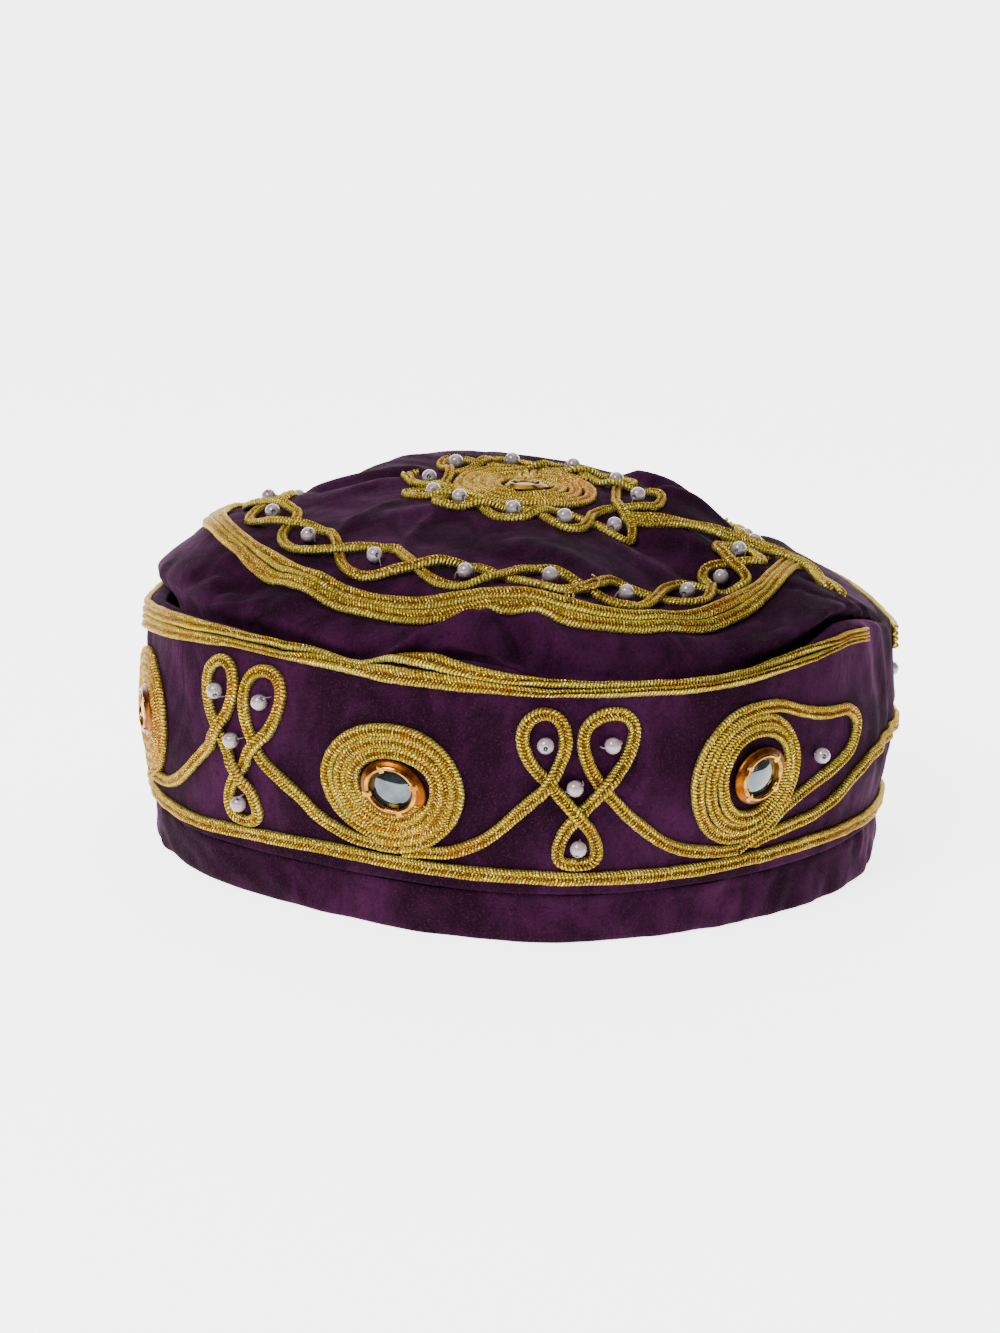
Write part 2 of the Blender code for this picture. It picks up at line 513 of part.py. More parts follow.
def build_trims(mat):
    az = AZIMUTHS
    row = band_row(az, round_spline(BAND, 5, az))
    path, normal = on_cloth(BAND_FACETS, az, row, 0.0 * az + BRAID_REST)
    add_sweep("lower_trim", path, normal, braid_profile(len(az)), mat, True)
    az = np.concatenate([[SEAM_END], AZIMUTHS[AZIMUTHS > SEAM_END + 1.0], AZIMUTHS[AZIMUTHS < SEAM_START - 1.0] + 360.0,
                         [SEAM_START + 360.0]])
    low = round_spline(BAND, 6, az)
    room = rim_height(az) - ROLL - low + math.radians(150.0) * ROLL
    squeeze = np.minimum(1.0, room / (2.0 * TRIM_PITCH))
    for k, letter in enumerate("ab"):
        row = band_row(az, low, TRIM_PITCH * squeeze * (k + 0.5))
        path, normal = on_cloth(BAND_FACETS, az, row, 0.0 * az + BRAID_REST + (0.5 if k else 0.0))
        add_sweep("upper_trim_" + letter, path, normal, braid_profile(len(az), BRAID_WIDTH * squeeze), mat)
        row = 1.0 - 0.124 * (0.25 + 0.5 * k) + 0.0 * AZIMUTHS
        path, normal = on_cloth(CROWN_FACETS, AZIMUTHS, row, 0.0 * AZIMUTHS + BRAID_REST)
        add_sweep("ring_trim_" + letter, path, normal, braid_profile(len(AZIMUTHS)), mat, True)


def weave(turn):
    """Lift of the upper strand between two eyes; turn is whole at the eyes."""
    return np.interp(np.abs(turn % 1.0 - 0.5), (0.0, 0.25, 0.5), (1.0, 0.6, 0.0))


def build_waves(mat):
    eyes = np.array(WAVE_EYES + (WAVE_EYES[0] + 360.0,))
    steps = 4
    turn = np.arange(len(WAVE_EYES) * steps) / steps
    azimuth = np.interp(turn, np.arange(len(eyes)), eyes)
    for letter, sign in (("a", 1.0), ("b", -1.0)):
        swing = sign * np.cos(math.pi * turn)
        row = WAVE_Q + swing * WAVE_SWING / 75.0
        over = weave(turn) * ((np.floor(turn) % 2 == 0) == (sign > 0))
        path, normal = on_cloth(CROWN_FACETS, azimuth, row, BRAID_REST + BRAID_STEP * over)
        add_sweep("wave_braid_" + letter, path, normal, braid_profile(len(turn)), mat, True)


def band_spot(azimuth, along, height):
    az = azimuth + np.asarray(along, float) / SPAN
    return az, band_row(az, np.asarray(height, float) + 0.0 * az)


def figure_height(azimuth, along, height):
    """Figures reach up to just below the upper trim."""
    room = round_spline(BAND, 6, azimuth + 0.0 * np.asarray(along, float)) - 3.5 - FIGURE_FOOT
    return FIGURE_FOOT + (height - FIGURE_FOOT) * np.where(height > FIGURE_FOOT, room / (FIGURE_TOP - FIGURE_FOOT), 1.0)


def build_figures(mat):
    for name, azimuth, before, after in FIGURES:
        reach_left = ((azimuth - COILS[before][1] + 180.0) % 360.0 - 180.0) * SPAN - 8.0
        reach_right = ((COILS[after][1] - azimuth + 180.0) % 360.0 - 180.0) * SPAN - 8.0
        left = [(-8.7 - share * (reach_left - 8.7), z) for share, z in TAIL[::-1]] if name != "3" else LONG_TAIL
        right = [(8.3 + share * (reach_right - 8.3), z) for share, z in TAIL]
        run = [(*spot, 0) for spot in left] + list(FIGURE_RUN) + [(*spot, 0) for spot in right]
        path = smooth_path(run, 60 if name != "3" else 78)
        gone = np.concatenate([[0.0], np.cumsum(np.hypot(*np.diff(path[:, :2], axis=0).T))])
        marks = [(x, z) for x, z, over in run if over]
        lift = np.zeros(len(path))
        used = 0
        for x, z in marks:
            # a run meets each crossing twice: the mark belongs to the visit that comes in the table's order
            near = np.hypot(path[:, 0] - x, path[:, 1] - z)
            near[:used] = 99.0
            first = int(np.argmax(near < 3.0))
            at = first + int(np.argmin(near[first:first + 4]))
            used = at + 3
            lift = np.maximum(lift, 1.0 - ramp(np.abs(gone - gone[at]), 3.5, 7.4))
        az, row = band_spot(azimuth, path[:, 0], figure_height(azimuth, path[:, 0], path[:, 1]))
        points, normal = on_cloth(BAND_FACETS, az, row, BRAID_REST + BRAID_STEP * lift)
        add_sweep("loop_braid_" + name, points, normal, braid_profile(len(path), BRAID_WIDTH - 0.3), mat)
    azimuth = COILS[2][1]
    path = smooth_path(SIDE_LOOP, 16)
    az, row = band_spot(azimuth, path[:, 0], path[:, 1])
    points, normal = on_cloth(BAND_FACETS, az, row, BRAID_REST + 0.0 * az)
    add_sweep("side_loop", points, normal, braid_profile(len(path)), mat)


#  share of the way out, height over the cloth
COIL_SECTION = ((0.0, 0.5), (0.12, 1.7), (0.25, 1.15), (0.37, 1.75), (0.5, 1.15), (0.63, 1.75), (0.75, 1.15),
                (0.88, 1.65), (1.0, 0.5), (0.5, 0.5))


def coil_rows(spot, facets, hole, shift, half_width, half_height, count):
    turn = np.arange(count) * (2.0 * math.pi / count)
    rows = []
    for share, height in COIL_SECTION:
        x = (1.0 - share) * (shift + hole[0] * np.cos(turn)) + share * half_width * np.cos(turn)
        y = (1.0 - share) * hole[1] * np.sin(turn) + share * half_height * np.sin(turn)
        az, row = spot(x, y)
        rows.append(on_cloth(facets, az, row, height + 0.0 * az)[0])
    return rows


def add_mount(name_ring, name_stone, point, normal, upward, mats):
    """A bezel and the stone inside it, lying flat on the cloth."""
    side = np.cross(upward, normal)
    side /= np.linalg.norm(side)
    up = np.cross(normal, side)
    turn = np.arange(12) * (2.0 * math.pi / 12)
    ring = lambda radius, height: (point + radius * (np.cos(turn)[:, None] * side + 0.94 * np.sin(turn)[:, None] * up)
                                   + height * normal)
    add_hoop(name_ring, [ring(7.0, 0.6), ring(6.7, 1.9), ring(5.6, 2.5), ring(5.1, 1.6), ring(5.1, 0.6)], mats[0])
    rim = [ring(4.7, 0.7), ring(4.7, 1.5), ring(2.9, 2.2)]
    points = np.concatenate([np.concatenate(rim), [point + 2.45 * normal], [point + 0.7 * normal]])
    triangles = quads(3, 12, False, True)
    for j in range(12):
        m = (j + 1) % 12
        triangles += [(36, 24 + j, 24 + m), (37, m, j)]
    add_solid(name_stone, points, triangles, mats[1])


def build_coils(gold, copper, glass):
    for name, azimuth, height, half_width, half_height, shift in COILS:
        spot = lambda x, y: band_spot(azimuth, x, height + y)
        rows = coil_rows(spot, BAND_FACETS, (8.1, 7.6), shift, half_width, half_height, 16)
        add_hoop("coil_braid_" + name, rows, gold)
        az, row = band_spot(azimuth, np.array([shift]), height)
        point, normal = BAND_FACETS.at(az, row)
        add_mount("bezel_" + name, "mirror_" + name, point[0], normal[0], np.array([0.0, 0.0, 1.0]), (copper, glass))


def crown_spot(x, y):
    """Azimuth and row of the crown under a point given from the medallion's middle."""
    azimuth = np.degrees(np.arctan2(x, -y))
    radius = np.hypot(x, y)
    ring = round_spline(CROWN, 1, azimuth)
    return azimuth, radius / ring


def build_medallion(gold, copper, glass):
    rows = coil_rows(crown_spot, CROWN_FACETS, (8.1, 7.6), 0.0, COIL_CENTRE_RADIUS, COIL_CENTRE_RADIUS, 20)
    add_hoop("medallion_coil", rows, gold)
    point = crown_point(AZIMUTHS, 0.0).mean(0)
    add_mount("bezel_centre", "stone_centre", point, np.array([0.0, 0.0, 1.0]), np.array([0.0, 1.0, 0.0]), (copper, glass))
    eyes = np.array(MEDALLION_PEARLS + (MEDALLION_PEARLS[0] + 360.0,))
    steps, count = 4, len(MEDALLION_PEARLS)
    turn = np.arange(2 * count * steps) / steps
    azimuth = np.interp(turn % count, np.arange(count + 1), eyes)
    swing = np.cos(math.pi * turn)
    radius = MEDALLION_RADIUS + MEDALLION_SWING * swing
    over = weave(turn) * (np.floor(turn) % 2 == 0)
    row = radius / round_spline(CROWN, 1, azimuth)
    path, normal = on_cloth(CROWN_FACETS, azimuth, row, BRAID_REST + BRAID_STEP * over)
    add_sweep("medallion_loops", path, normal, braid_profile(len(turn), BRAID_WIDTH - 0.2), gold, True)


def build_radials(mat):
    az, q, lift = (np.array([row[k] for row in RADIAL]) for k in range(3))
    middle, normal = CROWN_FACETS.at(az, q)
    ahead = np.gradient(middle, axis=0)
    side = np.cross(ahead, normal)
    side /= np.linalg.norm(side, axis=1, keepdims=True)
    round_way, down_way = CROWN_FACETS.at(az + 1.0, q)[0] - middle, CROWN_FACETS.at(az, q + 0.02)[0] - middle
    share = lambda way: np.einsum("ij,ij->i", side, way) / np.einsum("ij,ij->i", way, way)
    for letter, shift in (("a", -1.65), ("b", 1.65)):
        path, normal = on_cloth(CROWN_FACETS, az + shift * share(round_way), q + 0.02 * shift * share(down_way),
                                BRAID_REST + BRAID_STEP * lift)
        add_sweep("radial_braid_" + letter, path, normal, braid_profile(len(az)), mat)


# ---------------------------------------------------------------- pearls

def bead_string(spots, normals, closed, over):
    """Path, normals and radii of a thread that swells to a pearl at each spot."""
    spots, normals = np.asarray(spots), np.asarray(normals)
    count = len(spots)
    path, out, radius, course = [], [], [], []
    for k in range(count):
        here, up = spots[k], normals[k]
        back = here - spots[k - 1] if (closed or k) else None
        ahead = spots[(k + 1) % count] - here if (closed or k < count - 1) else None
        if back is None and ahead is None:
            heading = np.cross(up, np.array([0.0, 0.0, 1.0]))
        elif back is None:
            heading = ahead
        elif ahead is None:
            heading = back
        else:
            heading = back / np.linalg.norm(back) + ahead / np.linalg.norm(ahead)
        heading = heading - up * heading.dot(up)
        heading /= np.linalg.norm(heading)
        for offset, rise, size in ((-1.75, 1.15, 0.4), (-1.1, 0.0, 1.68), (1.1, 0.0, 1.68), (1.75, 1.15, 0.4)):
            path.append(here + heading * offset + up * (PEARL_RADIUS + 0.35 + rise))
            out.append(up)
            radius.append(size)
            course.append(heading)
        if ahead is not None and (closed or k < count - 1):
            m = (k + 1) % count
            middle = normals[k] + normals[m]
            middle /= np.linalg.norm(middle)
            path.append(0.5 * (here + spots[m]) + middle * over)
            out.append(middle)
            radius.append(THREAD_RADIUS)
            course.append(ahead / np.linalg.norm(ahead))
    return np.array(path), np.array(out), np.array(radius), np.array(course)


def add_beads(name, spots, normals, mat, closed=False, over=THREAD_PASS):
    path, out, radius, course = bead_string(spots, normals, closed, over)
    turn = np.arange(5) * (2.0 * math.pi / 5)
    profile = radius[:, None, None] * np.stack([np.cos(turn), np.sin(turn)], -1)[None]
    add_sweep(name, path, out, profile, mat, closed, course)


def build_pearls(mat):
    for name, azimuth, before, after in FIGURES:
        along, height = (np.array([row[k] for row in FIGURE_PEARLS]) for k in range(2))
        az, row = band_spot(azimuth, along, figure_height(azimuth, along, height))
        add_beads("pearls_loops_" + name, *BAND_FACETS.at(az, row), mat)
    az, row = band_spot(COILS[2][1], np.array([SIDE_PEARL[0]]), SIDE_PEARL[1])
    add_beads("pearl_side", *BAND_FACETS.at(az, row), mat)
    eyes = np.array([eye for k, eye in enumerate(WAVE_EYES) if k != EMPTY_EYE])
    add_beads("pearls_wave", *CROWN_FACETS.at(eyes, WAVE_Q + 0.0 * eyes), mat, True, 7.6)
    eyes = np.array(MEDALLION_PEARLS)
    row = MEDALLION_RADIUS / round_spline(CROWN, 1, eyes)
    add_beads("pearls_medallion", *CROWN_FACETS.at(eyes, row), mat, True)


def main():
    for obj in list(bpy.data.objects):
        bpy.data.objects.remove(obj, do_unlink=True)
    velvet_hem = material("velvet hem", VELVET, 0.9)
    velvet_band = material("velvet band", VELVET, 0.9)
    velvet_crown = material("velvet crown", VELVET, 0.9)
    gold_band = material("gold braid on the band", GOLD, 0.45, 0.6)
    gold_crown = material("gold braid on the crown", GOLD, 0.45, 0.6)
    copper = material("copper bezel", COPPER, 0.3, 0.9)
    glass = material("mirror glass", GLASS, 0.08)
    pearl = material("pearl", PEARL, 0.25)
    build_hem(velvet_hem)
    build_band(velvet_band)
    build_crown(velvet_crown)
    build_trims(gold_band)
    build_figures(gold_band)
    build_coils(gold_band, copper, glass)
    build_waves(gold_crown)
    build_medallion(gold_crown, copper, glass)
    build_radials(gold_crown)
    build_pearls(pearl)


main()
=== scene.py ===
import math

import bpy
import numpy as np
from mathutils import Matrix, Vector


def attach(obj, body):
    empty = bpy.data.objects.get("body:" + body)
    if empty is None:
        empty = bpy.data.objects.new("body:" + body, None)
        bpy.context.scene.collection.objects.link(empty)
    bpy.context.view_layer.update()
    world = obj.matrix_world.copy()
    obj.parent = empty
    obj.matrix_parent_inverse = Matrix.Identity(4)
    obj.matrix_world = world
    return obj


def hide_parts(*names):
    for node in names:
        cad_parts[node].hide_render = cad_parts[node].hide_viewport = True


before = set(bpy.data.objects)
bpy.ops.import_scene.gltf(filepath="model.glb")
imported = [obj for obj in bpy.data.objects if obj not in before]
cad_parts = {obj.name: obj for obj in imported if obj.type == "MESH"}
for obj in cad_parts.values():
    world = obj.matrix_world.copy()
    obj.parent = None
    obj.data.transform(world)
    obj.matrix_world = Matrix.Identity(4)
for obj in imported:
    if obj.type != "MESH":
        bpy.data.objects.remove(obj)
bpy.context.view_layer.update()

# Tables are in millimetres and degrees, as in the part's source.
MM = 0.001
HEM_HEIGHT = 10.8
HEM_CLOTH = 1.5
WALL = 2.2
CROWN_CLOTH = 1.8
ROLL = 2.0
GROOVE_DEPTH = 9.0
GAP = 0.4
SHIFT_X, SHIFT_Y = -2.4467, 1.9604
WAVE_INSET, RING_INSET = 14.2, 5.8

BRAID_WIDTH = 3.45
BRAID_HEIGHT = 1.45
BRAID_REST = 0.1
BRAID_LIFT = 1.35
PEARL_RADIUS = 1.88

SEAM_START, SEAM_END = 62.0, 78.0
CROWN_X = 1.5
FOLD_SPREAD, FOLD_DEPTH = 1.0, 1.0

# The band. Radii of its outer face at the foot, at the lower trim, at the belly and at the upper trim,
# then the heights of the lower trim, of the upper trim's lower edge and of the rim.
#  azimuth  r_foot r_low  r_belly r_trim z_low z_trim z_top
BAND = (
    (-180.0, 91.0, 91.8, 94.0, 92.0, 16.0, 56.0, 62.5),
    (-150.0, 90.2, 91.2, 93.6, 91.5, 16.0, 55.0, 62.0),
    (-120.0, 90.5, 91.4, 93.6, 91.8, 15.2, 52.5, 60.2),
    (-90.0,  89.6, 91.0, 93.2, 92.4, 14.2, 50.6, 58.6),
    (-70.0,  90.8, 92.4, 93.9, 93.2, 14.6, 54.6, 61.6),
    (-57.0,  91.0, 93.6, 94.4, 93.0, 15.2, 57.4, 62.9),
    (-43.0,  88.6, 91.0, 93.2, 91.0, 16.0, 59.4, 62.8),
    (-30.0,  87.6, 89.2, 92.6, 91.0, 16.6, 59.0, 60.8),
    (-24.0,  88.2, 89.4, 92.8, 91.6, 16.7, 58.6, 60.0),
    (-18.0,  89.2, 89.8, 93.0, 92.0, 16.6, 58.2, 62.4),
    (-10.0,  90.8, 91.4, 93.8, 92.8, 16.4, 57.9, 64.2),
    (-3.0,   91.8, 92.4, 94.4, 93.4, 16.0, 57.8, 63.4),
    (5.0,    92.6, 93.4, 95.0, 94.0, 15.8, 57.6, 59.9),
    (14.0,   92.4, 93.8, 95.4, 94.4, 15.8, 57.4, 58.9),
    (25.0,   91.6, 92.6, 95.2, 94.2, 15.9, 57.4, 58.7),
    (36.0,   91.4, 92.0, 94.4, 93.0, 16.0, 58.2, 59.4),
    (46.0,   92.0, 91.8, 94.0, 92.2, 16.0, 60.0, 62.6),
    (55.0,   92.6, 92.0, 94.2, 92.2, 15.9, 61.4, 66.2),
    (64.0,   92.8, 92.2, 94.8, 92.6, 15.5, 59.6, 64.6),
    (76.0,   92.0, 92.0, 94.8, 93.2, 15.0, 53.6, 59.6),
    (90.0,   90.4, 91.2, 94.4, 93.0, 14.8, 50.0, 57.4),
    (120.0,  90.6, 91.6, 94.4, 92.4, 15.4, 52.6, 59.6),
    (150.0,  90.8, 91.4, 93.6, 91.6, 16.0, 55.2, 62.0),
)

# The crown. Radius and height of its braid ring's outer side, height of the ring's inner side, heights of the
# cloth 14 mm inside the ring, half way in and at the medallion's rim, then the side bulge's radius and how far
# the bulge stands above the band's top edge.
#  azimuth  r_ring z_ring z_inner z_wave z_half z_rim r_bulge lift
CROWN = (
    (-180.0, 77.0, 71.2, 74.6, 77.0, 86.6, 87.0, 88.0, 3.6),
    (-150.0, 78.0, 71.6, 74.2, 76.2, 88.0, 88.2, 88.2, 3.6),
    (-120.0, 79.0, 71.6, 73.2, 74.6, 87.0, 87.6, 88.4, 3.8),
    (-104.0, 79.0, 73.8, 76.0, 77.2, 86.2, 87.0, 89.4, 5.4),
    (-90.0,  79.0, 75.2, 78.2, 80.0, 84.8, 86.6, 90.0, 6.6),
    (-70.0,  78.0, 77.0, 78.6, 79.6, 83.0, 85.7, 89.4, 6.2),
    (-52.0,  77.2, 73.6, 76.2, 78.0, 82.2, 85.4, 87.0, 4.2),
    (-40.0,  76.8, 70.7, 74.0, 77.2, 81.6, 85.0, 86.0, 4.0),
    (-29.0,  76.6, 68.4, 72.2, 77.0, 81.2, 84.6, 85.6, 3.6),
    (-20.0,  76.5, 68.1, 72.4, 76.6, 81.0, 84.2, 85.6, 3.0),
    (-12.0,  76.5, 69.5, 74.2, 76.0, 80.9, 84.0, 85.4, 2.2),
    (-5.0,   76.5, 71.7, 76.2, 76.2, 81.0, 83.9, 84.6, 1.6),
    (1.0,    76.5, 72.1, 76.0, 76.3, 80.9, 83.7, 83.6, 1.6),
    (8.0,    76.4, 69.0, 73.6, 75.3, 80.4, 83.3, 83.6, 2.6),
    (16.0,   76.2, 67.7, 71.6, 73.2, 79.4, 82.8, 84.2, 3.4),
    (26.0,   76.0, 66.9, 70.0, 71.2, 77.9, 82.2, 84.8, 3.6),
    (36.0,   75.6, 66.3, 69.7, 70.0, 76.9, 81.6, 85.4, 3.4),
    (45.0,   75.0, 67.6, 71.0, 70.6, 76.7, 81.4, 86.2, 2.8),
    (54.0,   73.4, 70.8, 72.0, 71.8, 77.6, 82.0, 87.2, 2.0),
    (64.0,   71.6, 74.0, 74.0, 74.6, 79.2, 82.8, 87.2, 2.4),
    (76.0,   71.0, 71.6, 73.4, 75.0, 81.2, 84.0, 88.4, 2.0),
    (90.0,   71.6, 66.6, 69.4, 72.4, 82.4, 84.6, 88.4, 1.6),
    (120.0,  74.0, 65.0, 68.0, 71.0, 83.4, 85.2, 88.0, 2.2),
    (150.0,  75.8, 69.0, 72.0, 75.0, 84.6, 86.0, 88.0, 3.0),
)

# Folds of the crown cloth, each a crest (+) or a valley (-) along a straight line in plan.
#  name            x0     y0     x1     y1    width height
FOLDS = (
    ("pinch_crest", -12.0, -80.0, -30.0, -89.0, 4.0,  2.4),
    ("pinch_valley",   0.0, -83.0,  10.0, -88.0, 4.6, -3.4),
    ("pinch_cleft",  -26.0, -90.0,  -2.0, -87.0, 3.0, -2.0),
    ("left_crease",  -70.0, -47.0, -58.0, -50.0, 2.6, -1.6),
    ("left_dimple",  -66.0, -44.0, -63.0, -52.0, 4.0, -1.8),
    ("left_ridge",   -56.0, -64.0, -47.0, -56.0, 3.0,  1.2),
    ("top_ridge_1",  -52.0,  10.0, -28.0,  14.0, 3.0,  1.0),
    ("top_ridge_2",  -46.0,  -4.0, -27.0,   6.0, 3.2,  1.1),
    ("top_valley_1", -50.0,   3.0, -30.0,   9.0, 2.6, -1.1),
    ("top_ridge_3",  -40.0, -26.0, -20.0, -22.0, 4.0,  1.0),
    ("front_ridge",    0.0, -44.0,  18.0, -50.0, 4.0,  1.2),
    ("right_valley",  26.0, -22.0,  48.0, -40.0, 4.0, -2.0),
    ("right_ridge",   32.0, -14.0,  56.0, -30.0, 3.6,  1.4),
    ("right_valley2", 34.0,  -6.0,  58.0, -20.0, 3.4, -1.4),
    ("crown_peak",   -36.0, 46.0, -10.0,  52.0, 9.0,  1.6),
    ("back_ridge",    36.0,   8.0,  56.0,   2.0, 3.2,  2.0),
    ("back_ridge2",   30.0,  26.0,  52.0,  18.0, 3.4,  2.0),
    ("back_valley",   34.0,  17.0,  54.0,  10.0, 3.2, -1.6),
    ("gather_1",      76.0, -38.0,  84.0, -34.0, 2.2, -1.8),
    ("gather_2",      78.0, -30.0,  88.0, -25.0, 2.2, -1.8),
    ("gather_3",      78.0, -22.0,  90.0, -18.0, 2.4, -1.6),
    ("back_fold_1",  -30.0,  60.0, -42.0,  78.0, 4.0, -1.8),
    ("back_fold_2",   18.0,  62.0,  24.0,  84.0, 4.0, -1.8),
    ("back_fold_3",   58.0,  40.0,  70.0,  52.0, 4.0,  1.6),
)

# Coiled discs on the band: middle, half width and half height, and the sideways shift of the bezel.
#  name  azimuth height half_width half_height bezel_shift
COILS = (
    ("1", -72.6, 34.6, 16.8, 15.0, 0.6),
    ("2", -18.3, 34.6, 17.6, 14.2, 1.7),
    ("3", 33.4, 36.6, 15.2, 15.2, 2.4),
    ("4", 126.0, 34.2, 16.4, 14.2, 1.0),
    ("5", 175.0, 34.4, 17.0, 14.2, -1.0),
    ("6", -134.0, 34.4, 17.0, 14.2, 1.2),
)

# Looped figures on the band, each between the coils named.
#  name  azimuth coil_before coil_after
FIGURES = (
    ("1", -43.2, 0, 1),
    ("2", 8.0, 1, 2),
    ("3", 99.0, 2, 3),
    ("4", 150.5, 3, 4),
    ("5", -159.5, 4, 5),
    ("6", -108.0, 5, 0),
)

# One run of a figure between its two tails: sideways from its middle, height, and 1 where it passes over itself.
#  along  height over
FIGURE_RUN = (
    (-8.7, 35.6, 0), (-6.6, 38.5, 1), (-4.5, 42.2, 0), (-3.1, 46.5, 0), (-3.3, 50.2, 0), (-4.9, 53.0, 0),
    (-7.8, 54.0, 0), (-10.9, 52.6, 0), (-12.5, 49.3, 0), (-11.8, 45.1, 0), (-9.5, 41.4, 0), (-6.6, 38.5, 0),
    (-3.4, 34.8, 0), (0.3, 30.7, 1), (3.2, 27.1, 0), (4.7, 23.2, 0), (4.5, 20.8, 0), (2.6, 19.6, 0),
    (-0.9, 19.4, 0), (-3.3, 20.1, 0), (-3.9, 22.8, 0), (-2.5, 27.2, 0), (0.3, 30.7, 0), (2.9, 33.8, 0),
    (5.5, 37.2, 1), (8.9, 40.9, 0), (11.5, 45.7, 0), (12.3, 50.3, 0), (10.6, 53.2, 0), (7.4, 54.0, 0),
    (3.9, 53.2, 0), (1.3, 50.6, 0), (0.9, 46.6, 0), (2.6, 41.6, 0), (5.5, 37.2, 0), (8.3, 34.0, 0),
)
FIGURE_FOOT, FIGURE_TOP = 19.6, 54.0
# A tail from a figure's shoulder (0) to the foot of the next coil (1).
#  share height
TAIL = ((0.16, 31.2), (0.33, 26.6), (0.5, 23.3), (0.7, 21.0), (0.85, 20.3), (1.0, 19.9))
# The long tail from the foot of coil 3 up to figure 3: sideways from the figure's middle, height.
LONG_TAIL = ((-103.8, 20.6), (-98.2, 22.0), (-87.3, 23.6), (-78.0, 26.5), (-67.3, 33.4), (-57.6, 37.4), (-45.0, 38.8),
             (-29.0, 38.4), (-15.0, 35.8))
# Pearls of a figure in thread order.
#  along  height
FIGURE_PEARLS = ((0.4, 23.6), (-0.9, 37.6), (-7.5, 47.2), (7.0, 47.2))

# The loose loop beside coil 3 and its pearl: sideways from the coil's middle, height.
SIDE_LOOP = ((14.6, 51.2), (20.0, 50.4), (27.6, 48.4), (33.4, 44.6), (34.6, 40.4), (29.6, 36.4), (22.6, 31.4), (17.4, 27.4))
SIDE_PEARL = (22.4, 41.4)

# Azimuths of the eyes that two wavy braids make inside the crown's ring, and how far they swing.
WAVE_EYES = (-75.0, -55.0, -34.0, -13.0, 5.0, 22.0, 39.0, 54.0, 64.5, 75.0, 86.0, 105.9, 125.8, 145.7, 165.6,
             185.5, 205.4, 225.3, 245.2, 265.1)
EMPTY_EYE = 9              # the radial braids pass through this one
WAVE_Q, WAVE_SWING = 0.782, 4.9
# Azimuths of the pearls round the medallion.
MEDALLION_PEARLS = (-93.0, -61.0, -40.0, -9.0, 17.0, 44.0, 84.0, 120.0, 154.0, 191.0, 229.0)
MEDALLION_RADIUS, MEDALLION_SWING = 25.6, 4.6
COIL_CENTRE_RADIUS = 18.2
# The double braid from the medallion over the ring to the side seam.
#  azimuth  q    lift
RADIAL = (
    (62.5, 0.47, 0.0), (68.0, 0.55, 0.2), (73.5, 0.63, 1.3), (75.0, 0.67, 2.0), (75.3, 0.72, 2.0), (75.2, 0.80, 2.0),
    (74.6, 0.86, 1.6), (74.3, 0.92, 1.2), (74.0, 0.98, 1.4), (73.4, 1.03, 1.1), (72.0, 1.10, 0.2), (69.5, 1.18, 0.0),
    (66.8, 1.26, 0.0), (64.6, 1.33, 0.0),
)


def round_spline(rows, column, azimuth):
    """Smooth closed curve through one column of a table of sections, at the given azimuths in degrees."""
    knot = np.array([row[0] for row in rows])
    value = np.array([row[column] for row in rows])
    knot = np.concatenate([knot[-2:] - 360.0, knot, knot[:2] + 360.0])
    value = np.concatenate([value[-2:], value, value[:2]])
    step = np.diff(knot)
    rise = np.diff(value) / step
    slope = np.zeros(len(knot))
    slope[1:-1] = (rise[:-1] * step[1:] + rise[1:] * step[:-1]) / (step[1:] + step[:-1])
    a = (np.asarray(azimuth, float) + 180.0) % 360.0 - 180.0
    i = np.clip(np.searchsorted(knot, a, side="right") - 1, 1, len(knot) - 3)
    t = (a - knot[i]) / step[i]
    h = step[i]
    return ((2 * t**3 - 3 * t**2 + 1) * value[i] + (t**3 - 2 * t**2 + t) * h * slope[i]
            + (3 * t**2 - 2 * t**3) * value[i + 1] + (t**3 - t**2) * h * slope[i + 1])


def curve_through(knot, value, at):
    """Smooth curve through a few stations of one section; knot and value have one row per section."""
    step = np.diff(knot, axis=0)
    rise = np.diff(value, axis=0) / step
    slope = np.empty_like(value)
    slope[1:-1] = (rise[:-1] * step[1:] + rise[1:] * step[:-1]) / (step[1:] + step[:-1])
    slope[0], slope[-1] = rise[0], rise[-1]
    i = np.clip((at[None] > knot[1:-1]).sum(0), 0, len(knot) - 2)
    c = np.arange(knot.shape[1])
    h = step[i, c]
    t = (at - knot[i, c]) / h
    return ((2 * t**3 - 3 * t**2 + 1) * value[i, c] + (t**3 - 2 * t**2 + t) * h * slope[i, c]
            + (3 * t**2 - 2 * t**3) * value[i + 1, c] + (t**3 - t**2) * h * slope[i + 1, c])


def ramp(x, low, high):
    t = np.clip((x - low) / (high - low), 0.0, 1.0)
    return t * t * (3.0 - 2.0 * t)


def band_wall(azimuth, z):
    """Radius of the band's outer face at a height, below the rolled edge."""
    az = np.asarray(azimuth, float)
    get = lambda c: round_spline(BAND, c, az)
    z_low, z_trim = get(5), get(6)
    knots = np.array([0 * z_low, z_low, 0.5 * (z_low + z_trim) - 2.0, z_trim, z_trim + 14.0])
    r_top = get(4) - 1.2
    values = np.array([get(1), get(2), get(3), get(4), r_top - 1.0])
    return curve_through(knots, values, np.asarray(z, float))


